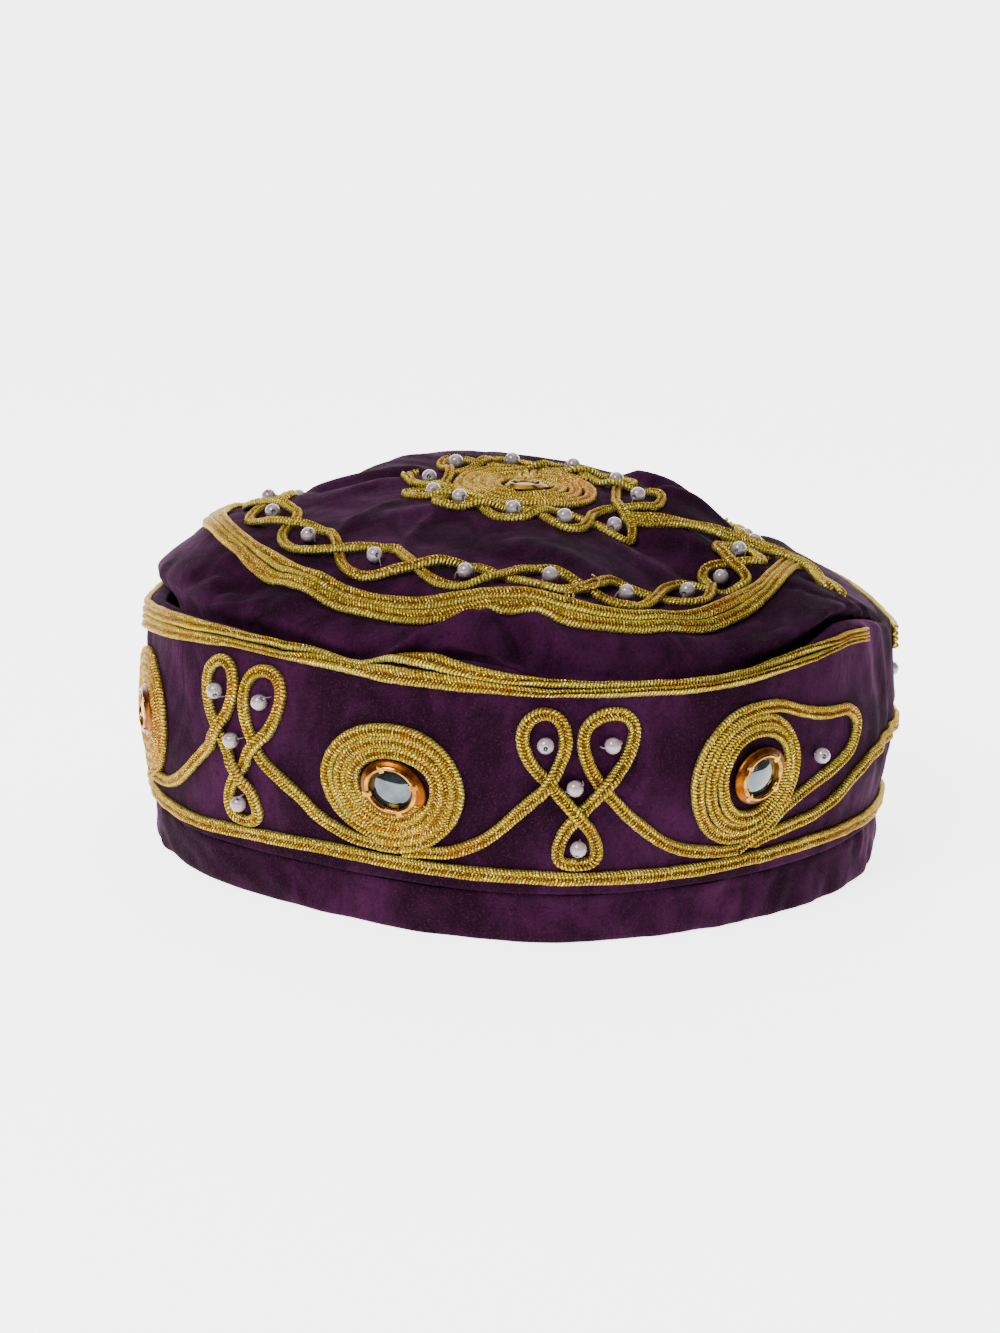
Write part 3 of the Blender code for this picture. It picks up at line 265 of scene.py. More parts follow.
def fold_height(x, y):
    lift = np.zeros_like(x)
    for name, x0, y0, x1, y1, width, height in FOLDS:
        length = math.hypot(x1 - x0, y1 - y0)
        ux, uy = (x1 - x0) / length, (y1 - y0) / length
        along = (x - x0) * ux + (y - y0) * uy
        across = (y - y0) * ux - (x - x0) * uy
        beyond = np.maximum(np.maximum(-along, along - length), 0.0)
        lift += FOLD_DEPTH * height * np.exp(-(across**2 + beyond**2) / (FOLD_SPREAD * width) ** 2)
    return lift


def crown_point(azimuth, q):
    """Point of the crown's outer face. q is 0 at the middle, 1 at the ring's outer side and 2 in the groove."""
    az = np.asarray(azimuth, float)
    q = np.asarray(q, float) + 0.0 * az
    get = lambda c: round_spline(CROWN, c, az)
    top = round_spline(BAND, 7, az)
    r_in = band_wall(az, top - ROLL) - 2.0 * ROLL - 2.2
    r_ring, z_ring, r_bulge, z_bulge = get(1), get(2), get(7), top + get(8)
    zero = 0.0 * az
    knots = np.array([zero, zero + 0.19, zero + 0.37, zero + 0.58, zero + 0.79, zero + 0.876, zero + 1.0,
                      zero + 1.17, zero + 1.40, zero + 1.66, zero + 2.0])
    radii = np.array([zero, 0.19 * r_ring, 0.37 * r_ring, 0.58 * r_ring, r_ring - WAVE_INSET, r_ring - RING_INSET, r_ring,
                      0.62 * r_ring + 0.38 * r_bulge, r_bulge, r_in, r_in - 0.3])
    z_sh = z_ring * 0.55 + z_bulge * 0.45 + 1.2
    heights = np.array([zero + 86.4, zero + 0.35 * 86.4 + 0.65 * (86.4 * 0.4 + get(6) * 0.6), get(6), get(5), get(4), get(3), z_ring,
                        z_sh, z_bulge, top - 0.6, top - GROOVE_DEPTH])
    r, z = curve_through(knots, radii, q), curve_through(knots, heights, q)
    a = np.radians(az)
    x = r * np.sin(a) + CROWN_X * ramp(1.0 - q, 0.0, 0.6)
    y = -r * np.cos(a)
    z = z + fold_height(x, y) * ramp(1.62 - q, 0.0, 0.25)
    return np.stack([x, y, z], -1)


def polar(azimuth, radius, height):
    a = np.radians(azimuth)
    return np.stack([radius * np.sin(a), -radius * np.cos(a), height + 0.0 * radius], -1)


def rim_height(azimuth):
    return round_spline(BAND, 7, azimuth)


def edge_radius(azimuth):
    return band_wall(azimuth, rim_height(azimuth) - ROLL)


def band_face(azimuth, v):
    """Outer face of the band: v is 0 at the hem, 1 where the rim starts to roll and 2 on its inner side."""
    v = np.asarray(v, float) + 0.0 * azimuth
    start = rim_height(azimuth) - ROLL
    z = HEM_HEIGHT + 1.2 + np.clip(v, 0.0, 1.0) * (start - HEM_HEIGHT - 1.2)
    turn = math.pi * np.clip(v - 1.0, 0.0, 1.0)
    radius = band_wall(azimuth, z) - ROLL * (1.0 - np.cos(turn))
    return polar(azimuth, radius, z + ROLL * np.sin(turn))


def band_row(azimuth, height, arc=0.0):
    """Row of band_face for a height, plus an arc length measured on from there over the rim."""
    start = rim_height(azimuth) - ROLL
    reach = height + arc
    wall = (np.minimum(reach, start) - HEM_HEIGHT - 1.2) / (start - HEM_HEIGHT - 1.2)
    return wall + np.maximum(reach - start, 0.0) / (math.pi * ROLL)


def band_spot(azimuth, along, height):
    az = azimuth + np.asarray(along, float) / SPAN
    return az, band_row(az, np.asarray(height, float) + 0.0 * az)


def figure_height(azimuth, along, height):
    """Figures reach up to just below the upper trim."""
    room = round_spline(BAND, 6, azimuth + 0.0 * np.asarray(along, float)) - 3.5 - FIGURE_FOOT
    return FIGURE_FOOT + (height - FIGURE_FOOT) * np.where(height > FIGURE_FOOT, room / (FIGURE_TOP - FIGURE_FOOT), 1.0)


def crown_spot(x, y):
    """Azimuth and row of the crown under a point given from the medallion's middle."""
    azimuth = np.degrees(np.arctan2(x, -y))
    radius = np.hypot(x, y)
    ring = round_spline(CROWN, 1, azimuth)
    return azimuth, radius / ring


SPAN = math.pi / 180.0 * 95.0
TAU = 2.0 * math.pi

# The loops round the medallion, one row per eye: its pearl, the far and near side of the strand that rounds it, and
# the crossing on the way to the next eye. Azimuth and radius are from the medallion's middle.
#  azimuth r_pearl  az_out r_out  r_near  az_cross r_cross
MEDALLION_EYES = (
    (-93.0, 25.3, -106.0, 32.5, 21.3, -74.0, 22.2),
    (-61.0, 26.9, -74.0, 32.1, 21.5, -51.0, 25.5),
    (-40.0, 27.1, -46.0, 31.5, 21.7, -27.0, 25.3),
    (-9.0, 26.3, -11.0, 29.8, 21.5, 5.0, 24.9),
    (17.0, 27.3, 17.0, 31.3, 21.9, 33.0, 25.9),
    (44.0, 28.3, 47.0, 32.9, 22.1, 65.0, 23.5),
    (84.0, 26.7, 92.0, 33.2, 21.5, 111.0, 23.7),
    (120.0, 25.3, 124.0, 31.3, 21.1, 146.0, 23.2),
    (154.0, 25.0, 158.0, 29.4, 20.9, 173.0, 22.8),
    (191.0, 25.0, 192.0, 29.4, 20.9, 211.0, 22.6),
    (229.0, 25.0, 221.0, 31.3, 21.1, 246.0, 22.0),
)
# Frayed ends by the wavy braid: azimuth, row and height over the cloth.
LOOSE_THREADS = (
    ((7.6, 0.905, 1.9), (7.9, 0.875, 2.8), (9.6, 0.855, 3.2), (12.0, 0.850, 3.4), (14.0, 0.815, 3.6), (15.2, 0.772, 3.2), (14.6, 0.735, 2.4)),
    ((8.4, 0.900, 1.8), (8.8, 0.868, 3.4), (10.8, 0.862, 3.9), (12.6, 0.838, 3.2), (14.6, 0.800, 3.0), (15.8, 0.758, 3.6), (16.6, 0.745, 2.2)),
    ((6.9, 0.915, 1.6), (7.4, 0.880, 2.2), (8.6, 0.872, 4.0), (9.8, 0.842, 2.6)),
)
# Coils as worked: where the braid joins in (degrees anticlockwise from the right) and how many turns it makes.
#  name  start  turns
COIL_RUNS = (("1", 262.0, 3.2), ("2", 262.0, 3.2), ("3", 92.0, 2.8), ("4", 262.0, 3.2), ("5", 260.0, 3.2), ("6", 262.0, 3.2))
# Course of the loose loop beside coil 3: sideways from the coil's middle, height.
LOOSE_LOOP = ((-1.0, 19.2), (5.6, 22.2), (11.4, 26.4), (17.6, 29.6), (25.0, 32.4), (31.0, 34.6), (35.8, 37.6), (38.4, 41.4),
              (37.6, 44.6), (34.0, 46.8), (29.0, 47.2), (23.0, 47.8), (16.5, 49.4))


# ---------------------------------------------------------------- cloth surfaces

def waves_table(count, short, long, seed):
    rng = np.random.default_rng(seed)
    way = rng.normal(size=(count, 3))
    way /= np.linalg.norm(way, axis=1, keepdims=True)
    return way * (TAU / rng.uniform(short, long, (count, 1))), rng.uniform(0.0, TAU, count), rng.uniform(0.4, 1.0, count)


RIPPLES = waves_table(16, 13.0, 42.0, 5)
CREASES = waves_table(12, 5.0, 12.0, 9)
# Creases of the crown from one azimuth and row to another, in millimetres wide and high.
#  name            az0    q0    az1    q1    width height
DEEP_FOLDS = (
    ("pinch_low",    -22.0, 1.66, -15.0, 1.42, 2.4,  2.5),
    ("pinch_high",   -15.0, 1.42,  -6.0, 1.04, 2.6,  2.6),
    ("pinch_swell",  -13.0, 1.56,  -4.0, 1.46, 5.0,  1.3),
    ("pinch_back",   -25.0, 1.52, -12.0, 1.08, 3.0, -1.1),
    ("pinch_valley",  -2.5, 1.06,   4.4, 1.50, 2.6, -1.9),
    ("pinch_lip",      2.5, 1.02,  11.0, 1.44, 3.6,  1.5),
    ("left_wrinkle", -59.0, 1.60, -47.0, 1.30, 2.0,  0.8),
    ("left_tuck",    -46.0, 1.56, -38.0, 1.26, 2.2, -0.8),
    ("left_hollow",  -68.0, 1.52, -60.0, 1.18, 3.2, -1.2),
    ("right_tuck_1",  58.0, 1.10,  61.0, 1.60, 1.9, -1.0),
    ("right_tuck_2",  66.0, 1.14,  68.0, 1.62, 1.7, -1.2),
    ("right_tuck_3",  73.0, 1.16,  74.5, 1.62, 1.7, -1.1),
    ("right_fold",    40.0, 1.42,  56.0, 1.16, 3.6,  0.8),
    ("right_swell",   40.0, 1.42,  67.0, 1.38, 7.5,  2.8),
    ("top_fold_1",   -64.0, 0.52, -54.0, 0.72, 2.4,  0.8),
    ("top_fold_2",   -40.0, 0.50, -33.0, 0.70, 2.6,  0.8),
    ("top_fold_3",   -20.0, 0.48, -14.0, 0.68, 2.2, -0.7),
    ("top_fold_4",    52.0, 0.48,  60.0, 0.66, 2.6, -0.9),
)
# How closely the two upper trims are gathered, by azimuth.
TRIM_GATHER = ((-180.0, 1.0), (-75.0, 1.02), (-60.0, 0.9), (-50.0, 0.68), (-44.0, 0.54), (-36.0, 0.50), (-31.0, 0.78), (-24.0, 1.08),
               (-12.0, 1.08), (-4.0, 0.76), (4.0, 0.50), (60.0, 0.46), (80.0, 0.9), (100.0, 1.0), (180.0, 1.0))


def ripple(points, table):
    way, phase, size = table
    return (np.sin(points @ way.T + phase) * size).sum(-1) / math.sqrt(len(phase))


def deep_folds(azimuth, q):
    """Creases of the velvet that the plain shape leaves out; heights are along the cloth's normal."""
    total = 0.0 * azimuth
    for name, az0, q0, az1, q1, width, height in DEEP_FOLDS:
        x, y = azimuth * 1.45, q * 62.0
        x0, y0, x1, y1 = az0 * 1.45, q0 * 62.0, az1 * 1.45, q1 * 62.0
        length = math.hypot(x1 - x0, y1 - y0)
        ux, uy = (x1 - x0) / length, (y1 - y0) / length
        along = (x - x0) * ux + (y - y0) * uy
        across = (y - y0) * ux - (x - x0) * uy
        beyond = np.maximum(np.maximum(-along, along - length), 0.0)
        total = total + height * np.exp(-(across / width) ** 2 - (beyond / 5.0) ** 2)
    return total


def crown_surface(azimuth, q):
    azimuth, q = np.broadcast_arrays(np.asarray(azimuth, float), np.asarray(q, float))
    point = crown_point(azimuth.ravel(), q.ravel()).reshape(azimuth.shape + (3,))
    slack = ripple(point, RIPPLES) * 0.52 + ripple(point, CREASES) * 0.16
    a = np.radians(azimuth)
    side = ramp(q, 0.95, 1.3)
    fade = ramp(1.75 - q, 0.0, 0.3)
    # soft gathers where the crown runs down into the band
    gather = (np.sin(a * 31.0 + 1.2 * np.sin(a * 5.0)) * 0.25 + np.sin(a * 17.0 + 2.0) * 0.2) * ramp(q, 1.15, 1.5) * fade
    fold = deep_folds(azimuth, q)
    out = (slack * side + gather) * fade + fold * 0.7 * ramp(q, 0.9, 1.1)
    point[..., 0] += out * np.sin(a)
    point[..., 1] -= out * np.cos(a)
    point[..., 2] += slack * (1.0 - side) + fold * (1.0 - 0.45 * ramp(q, 0.9, 1.3))
    return point


def band_surface(azimuth, v):
    azimuth, v = np.broadcast_arrays(np.asarray(azimuth, float), np.asarray(v, float))
    point = band_face(azimuth.ravel(), v.ravel()).reshape(azimuth.shape + (3,))
    a = np.radians(azimuth)
    out = (ripple(point, RIPPLES) * 0.36 + ripple(point, CREASES) * 0.09) * ramp(v, -0.1, 0.12)
    # the seam at the side puckers the cloth a little
    seam = np.exp(-((azimuth - 70.0) / 9.0) ** 2)
    out += seam * 0.35 * np.sin(azimuth * 1.05 + 6.0 * v) * ramp(v, 0.05, 0.4)
    point[..., 0] += out * np.sin(a)
    point[..., 1] -= out * np.cos(a)
    return point


def on_surface(surface, azimuth, row, height):
    """Points at a height over the cloth, and the cloth's normals there."""
    azimuth, row = np.broadcast_arrays(np.asarray(azimuth, float), np.asarray(row, float))
    point = surface(azimuth, row)
    round_way = surface(azimuth + 0.35, row) - surface(azimuth - 0.35, row)
    row_way = surface(azimuth, row + 0.006) - surface(azimuth, row - 0.006)
    normal = np.cross(round_way, row_way)
    if surface is crown_surface:
        normal = -normal
    size = np.linalg.norm(normal, axis=-1, keepdims=True)
    normal = np.where(size > 1e-7, normal / np.maximum(size, 1e-7), np.array([0.0, 0.0, 1.0]))
    return point + normal * np.asarray(height, float)[..., None], normal


# ---------------------------------------------------------------- shaders

class Shader:
    """Short names for building a material's nodes."""

    def __init__(self, name):
        self.material = bpy.data.materials.new(name)
        self.material.use_nodes = True
        self.tree = self.material.node_tree
        self.bsdf = self.tree.nodes["Principled BSDF"]

    def node(self, kind, **settings):
        node = self.tree.nodes.new(kind)
        for key, value in settings.items():
            setattr(node, key, value)
        return node

    def feed(self, socket, value):
        if isinstance(value, bpy.types.NodeSocket):
            self.tree.links.new(value, socket)
        elif isinstance(value, (tuple, list)) and len(value) == 3 and socket.type == "RGBA":
            socket.default_value = (*value, 1.0)
        else:
            socket.default_value = value

    def math(self, operation, a, b=0.0, c=0.0, clamp=False):
        node = self.node("ShaderNodeMath", operation=operation, use_clamp=clamp)
        for socket, value in zip(node.inputs, (a, b, c)):
            self.feed(socket, value)
        return node.outputs[0]

    def smooth(self, value, low, high):
        node = self.node("ShaderNodeMapRange", interpolation_type="SMOOTHSTEP")
        self.feed(node.inputs["Value"], value)
        node.inputs["From Min"].default_value = low
        node.inputs["From Max"].default_value = high
        return node.outputs["Result"]

    def mix(self, share, a, b, blend="MIX"):
        node = self.node("ShaderNodeMix", data_type="RGBA", blend_type=blend)
        self.feed(node.inputs[0], share)
        self.feed(node.inputs[6], a)
        self.feed(node.inputs[7], b)
        return node.outputs[2]

    def noise(self, scale, detail=2.0, roughness=0.5, distortion=0.0, vector=None, stretch=None):
        place = vector if vector is not None else self.node("ShaderNodeTexCoord").outputs["Object"]
        if stretch is not None:
            mapping = self.node("ShaderNodeMapping")
            self.feed(mapping.inputs["Vector"], place)
            mapping.inputs["Scale"].default_value = stretch
            place = mapping.outputs[0]
        node = self.node("ShaderNodeTexNoise")
        self.feed(node.inputs["Vector"], place)
        node.inputs["Scale"].default_value = scale
        node.inputs["Detail"].default_value = detail
        node.inputs["Roughness"].default_value = roughness
        node.inputs["Distortion"].default_value = distortion
        return node.outputs["Fac"]

    def bump(self, height, distance, strength=1.0, normal=None):
        node = self.node("ShaderNodeBump")
        node.inputs["Distance"].default_value = distance
        node.inputs["Strength"].default_value = strength
        self.feed(node.inputs["Height"], height)
        if normal is not None:
            self.feed(node.inputs["Normal"], normal)
        return node.outputs[0]

    def attribute(self, name):
        node = self.node("ShaderNodeAttribute")
        node.attribute_name = name
        return node.outputs["Fac"]

    def set(self, **values):
        for key, value in values.items():
            self.feed(self.bsdf.inputs[key.replace("_", " ")], value)
        return self.material


def velvet_material(name, shift=0.0, patch=26.0):
    s = Shader(name)
    broad = s.noise(patch, 3.0, 0.55, 0.6)
    nap = s.noise(95.0, 3.0, 0.6, 1.2, stretch=(1.0, 1.0, 0.55))
    pile = s.noise(2600.0, 2.0, 0.6)
    speck = s.noise(900.0, 2.0, 0.7)
    brushed = s.smooth(s.math("ADD", s.math("MULTIPLY", broad, 0.65), s.math("MULTIPLY", nap, 0.35)), 0.41 + shift, 0.67 + shift)
    deep = (0.0066, 0.0002, 0.0044)
    open_pile = (0.0280, 0.0036, 0.0225)
    tone = s.mix(brushed, deep, open_pile)
    # painted highlight: the raised grain of the pile is given a lighter tone where its tips would catch the light
    tone = s.mix(s.math("MULTIPLY", s.smooth(pile, 0.50, 0.74), 0.5), tone, (0.047, 0.010, 0.036))
    tone = s.mix(s.math("MULTIPLY", s.math("SUBTRACT", 1.0, s.smooth(speck, 0.30, 0.46)), 0.5), tone, (0.004, 0.0003, 0.003))
    height = s.math("ADD", s.math("MULTIPLY", pile, 0.55), s.math("MULTIPLY", speck, 0.45))
    rough = s.bump(height, 0.00022, 0.85)
    broad_bump = s.bump(nap, 0.0009, 0.55, rough)
    sheen = s.math("ADD", s.math("MULTIPLY", brushed, 0.20), 0.015)
    return s.set(Base_Color=tone, Roughness=0.95, Specular_IOR_Level=0.06, Normal=broad_bump, Sheen_Weight=sheen,
                 Sheen_Roughness=0.34, Sheen_Tint=(0.58, 0.20, 0.50))


def lining_material():
    s = Shader("lining_cotton")
    weave = s.noise(1500.0, 1.0, 0.5, stretch=(1.0, 1.0, 0.35))
    tone = s.mix(s.smooth(s.noise(60.0, 3.0), 0.35, 0.7), (0.070, 0.030, 0.030), (0.110, 0.052, 0.048))
    tone = s.mix(s.math("MULTIPLY", weave, 0.4), tone, (0.040, 0.017, 0.019))
    return s.set(Base_Color=tone, Roughness=0.9, Normal=s.bump(weave, 0.0002, 0.7), Sheen_Weight=0.1)


def braid_material(name, olive=0.35):
    """Two plaited ridges with a darker groove. The uv map holds millimetres along and -1 to 1 across."""
    s = Shader(name)
    uv = s.node("ShaderNodeUVMap", uv_map="braid").outputs[0]
    parts = s.node("ShaderNodeSeparateXYZ")
    s.feed(parts.inputs[0], uv)
    along, across = parts.outputs[0], parts.outputs[1]
    wide = s.math("ABSOLUTE", across)
    wander = s.noise(520.0, 2.0, 0.6)
    # threads slant from the groove to the edges on both ridges
    turn = s.math("ADD", s.math("MULTIPLY", along, TAU / 0.78), s.math("MULTIPLY", wide, 6.6))
    turn = s.math("ADD", turn, s.math("MULTIPLY", wander, 4.0))
    thread = s.math("MULTIPLY_ADD", s.math("SINE", turn), 0.5, 0.5)
    groove = s.math("SUBTRACT", 1.0, s.smooth(wide, 0.06, 0.36))
    edge = s.smooth(wide, 0.62, 0.96)
    drift = s.noise(75.0, 3.0, 0.6)
    glint = s.noise(2600.0, 1.0, 0.5)
    flake = s.noise(1500.0, 2.0, 0.7, 0.6)
    patch = s.noise(210.0, 3.0, 0.65)
    ridge = s.mix(s.smooth(drift, 0.36, 0.64), (0.265, 0.150, 0.0035), (0.385, 0.258, 0.0100))
    ridge = s.mix(s.math("MULTIPLY", s.smooth(patch, 0.50, 0.72), olive), ridge, (0.190, 0.160, 0.0070))
    tone = s.mix(s.math("MULTIPLY", edge, 0.75), ridge, (0.580, 0.480, 0.080))
    tone = s.mix(s.math("MULTIPLY", groove, 0.86), tone, (0.150, 0.048, 0.0010))
    blaze = s.math("MULTIPLY", s.smooth(s.noise(130.0, 3.0, 0.7, 0.8), 0.54, 0.70), 0.62)
    warm = s.math("ADD", s.math("MULTIPLY", s.attribute("tint"), 0.9), blaze, clamp=True)
    tone = s.mix(warm, tone, (0.320, 0.100, 0.0030))
    # painted shade: the gaps between the slanting threads and the low flecks are darkened
    tone = s.mix(s.math("MULTIPLY", s.math("SUBTRACT", 1.0, s.smooth(thread, 0.06, 0.56)), 0.66), tone, (0.022, 0.011, 0.0006))
    tone = s.mix(s.math("MULTIPLY", s.math("SUBTRACT", 1.0, s.smooth(flake, 0.37, 0.51)), 0.60), tone, (0.040, 0.021, 0.0010))
    # painted glints: bright pale flecks on the tops of the threads
    tone = s.mix(s.math("MULTIPLY", s.math("MULTIPLY", s.smooth(glint, 0.525, 0.66), s.smooth(thread, 0.30, 0.85)), 0.90), tone, (1.0, 0.86, 0.28))
    height = s.math("ADD", s.math("MULTIPLY", thread, 0.50), s.math("MULTIPLY", flake, 0.7))
    height = s.math("ADD", height, s.math("MULTIPLY", glint, 0.5))
    normal = s.bump(height, 0.00032, 1.0)
    gloss = s.math("MULTIPLY_ADD", flake, -0.50, 0.56)
    return s.set(Base_Color=tone, Metallic=0.72, Roughness=gloss, Normal=normal, Specular_IOR_Level=0.10, Specular_Tint=(0.70, 0.48, 0.16))


def copper_material(name, dull, bright, rough):
    s = Shader(name)
    worn = s.noise(420.0, 4.0, 0.65)
    fine = s.noise(2600.0, 2.0, 0.6)
    tone = s.mix(s.smooth(worn, 0.35, 0.7), dull, bright)
    return s.set(Base_Color=tone, Metallic=1.0, Roughness=s.math("MULTIPLY_ADD", worn, 0.26, rough),
                 Normal=s.bump(s.math("ADD", worn, s.math("MULTIPLY", fine, 0.25)), 0.00012, 0.5))


def mirror_material(name="mirror_glass", dark=(0.030, 0.040, 0.045), light=(0.085, 0.108, 0.118), haze=0.02, coat=0.7):
    s = Shader(name)
    cloud = s.noise(160.0, 3.0, 0.6)
    scratch = s.noise(1200.0, 3.0, 0.7, stretch=(1.0, 1.0, 0.2))
    tone = s.mix(s.smooth(cloud, 0.3, 0.7), dark, light)
    return s.set(Base_Color=tone, Metallic=0.85, Roughness=s.math("MULTIPLY_ADD", scratch, 0.10, haze),
                 Normal=s.bump(cloud, 0.0004, 0.3), Coat_Weight=coat, Coat_Roughness=0.03)


def pearl_material():
    s = Shader("pearl")
    cloud = s.noise(900.0, 3.0, 0.6)
    rim = s.node("ShaderNodeLayerWeight").outputs["Facing"]
    tone = s.mix(s.smooth(cloud, 0.3, 0.75), (0.210, 0.165, 0.182), (0.310, 0.255, 0.268))
    # painted shade: the pearl darkens towards its outline, where its surface turns away from the view
    tone = s.mix(s.math("MULTIPLY", rim, 0.7), tone, (0.085, 0.048, 0.066))
    return s.set(Base_Color=tone, Roughness=s.math("MULTIPLY_ADD", cloud, 0.12, 0.14), Coat_Weight=0.9, Coat_Roughness=0.06,
                 Normal=s.bump(cloud, 0.00005, 0.4), Sheen_Weight=0.1)


def thread_material():
    s = Shader("thread")
    twist = s.noise(2500.0, 1.0, 0.5)
    return s.set(Base_Color=s.mix(twist, (0.140, 0.105, 0.130), (0.260, 0.215, 0.240)), Roughness=0.7, Normal=s.bump(twist, 0.0001, 0.5))


# ---------------------------------------------------------------- pieces

def piece(name, points, faces, materials, nodes, uv=None, tint=None, which=None):
    """A mesh in the row frame that rides on the cap and stands for CAD nodes."""
    points = np.asarray(points, float) + np.array([SHIFT_X, SHIFT_Y, 0.0])
    faces = np.asarray(faces, np.int32)
    mesh = bpy.data.meshes.new(name)
    mesh.vertices.add(len(points))
    mesh.vertices.foreach_set("co", (points * MM).astype(np.float32).ravel())
    mesh.loops.add(faces.size)
    mesh.loops.foreach_set("vertex_index", faces.ravel())
    mesh.polygons.add(len(faces))
    mesh.polygons.foreach_set("loop_start", np.arange(0, faces.size, faces.shape[1], dtype=np.int32))
    mesh.polygons.foreach_set("use_smooth", np.ones(len(faces), bool))
    for item in materials:
        mesh.materials.append(item)
    if which is not None:
        mesh.polygons.foreach_set("material_index", np.asarray(which, np.int32))
    if uv is not None:
        layer = mesh.uv_layers.new(name="braid")
        layer.data.foreach_set("uv", np.asarray(uv, np.float32)[faces.ravel()].ravel())
    if tint is not None:
        mesh.attributes.new("tint", "FLOAT", "POINT").data.foreach_set("value", np.asarray(tint, np.float32))
    mesh.update(calc_edges=True)
    mesh.validate()
    obj = bpy.data.objects.new(name, mesh)
    bpy.context.scene.collection.objects.link(obj)
    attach(obj, "root")
    if nodes:
        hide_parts(*nodes)
    return obj


def grid_faces(rows, columns, wrap_rows=False, wrap_columns=False, flip=False):
    i = np.arange(rows if wrap_rows else rows - 1)[:, None]
    j = np.arange(columns if wrap_columns else columns - 1)[None, :]
    k, m = (i + 1) % rows, (j + 1) % columns
    faces = np.stack([i * columns + j, i * columns + m, k * columns + m, k * columns + j], -1).reshape(-1, 4)
    return faces[:, ::-1] if flip else faces


class Parts:
    """Collects several grids of vertices into one mesh."""

    def __init__(self):
        self.points, self.faces, self.uv, self.tint, self.which, self.count = [], [], [], [], [], 0

    def add(self, points, faces, uv=None, tint=0.0, which=0):
        points = np.asarray(points, float).reshape(-1, 3)
        self.points.append(points)
        self.faces.append(np.asarray(faces) + self.count)
        self.uv.append(np.zeros((len(points), 2)) if uv is None else np.asarray(uv).reshape(-1, 2))
        self.tint.append(np.broadcast_to(np.asarray(tint, float), (len(points),)))
        self.which.append(np.full(len(faces), which))
        self.count += len(points)

    def make(self, name, materials, nodes):
        return piece(name, np.concatenate(self.points), np.concatenate(self.faces), materials, nodes,
                     np.concatenate(self.uv), np.concatenate(self.tint), np.concatenate(self.which))


#  across (share of the half width), height (share of the braid's height)
SECTION = np.array(((-0.94, -0.10), (-1.02, 0.30), (-0.93, 0.68), (-0.74, 0.93), (-0.50, 1.00), (-0.27, 0.84), (-0.10, 0.56),
                    (0.10, 0.56), (0.27, 0.84), (0.50, 1.00), (0.74, 0.93), (0.93, 0.68), (1.02, 0.30), (0.94, -0.10)))


def dense(points, per=16, closed=False):
    """Catmull-Rom curve through table rows, evenly parametrised."""
    p = np.asarray(points, float)
    p = np.concatenate([p[-1:], p, p[:2]]) if closed else np.concatenate([2 * p[:1] - p[1:2], p, 2 * p[-1:] - p[-2:-1]])
    t = np.linspace(0.0, 1.0, per, endpoint=False)[:, None]
    out = []
    for k in range(1, len(p) - 2):
        a, b, c, d = p[k - 1], p[k], p[k + 1], p[k + 2]
        out.append(0.5 * (2 * b + (c - a) * t + (2 * a - 5 * b + 4 * c - d) * t**2 + (3 * b - a - 3 * c + d) * t**3))
    return np.concatenate(out) if closed else np.concatenate(out + [p[-2:-1]])


def lay(surface, azimuth, row, lift=0.0, closed=False, step=0.5, extra=None):
    """Evenly spaced points of a braid's underside on the cloth, with normals; extra columns are carried along."""
    azimuth, row = np.asarray(azimuth, float), np.asarray(row, float)
    lift = np.broadcast_to(np.asarray(lift, float), azimuth.shape)
    columns = [azimuth, row, lift] + ([] if extra is None else list(extra))
    table = np.stack(columns, -1)
    if closed:
        table = np.concatenate([table, table[:1]])
        table[-1, 0] = table[0, 0] + 360.0 * round((azimuth[-1] - azimuth[0]) / 360.0 + 0.02 * np.sign(azimuth[-1] - azimuth[0]))
    point = surface(table[:, 0], table[:, 1])
    gone = np.concatenate([[0.0], np.cumsum(np.linalg.norm(np.diff(point, axis=0), axis=1))])
    count = max(4, int(round(gone[-1] / step)) + 1)
    at = np.linspace(0.0, gone[-1], count)
    table = np.stack([np.interp(at, gone, table[:, k]) for k in range(table.shape[1])], -1)
    point, normal = on_surface(surface, table[:, 0], table[:, 1], BRAID_REST + table[:, 2])
    return point, normal, at, table


def soften(values, reach, closed):
    kernel = np.hanning(2 * reach + 3)[1:-1]
    kernel /= kernel.sum()
    pad = np.concatenate([values[-reach - 1:-1], values, values[1:reach + 1]]) if closed else np.concatenate(
        [2 * values[:1] - values[reach:0:-1], values, 2 * values[-1:] - values[-2:-reach - 2:-1]])
    return np.stack([np.convolve(pad[:, k], kernel, "valid") for k in range(values.shape[1])], -1)


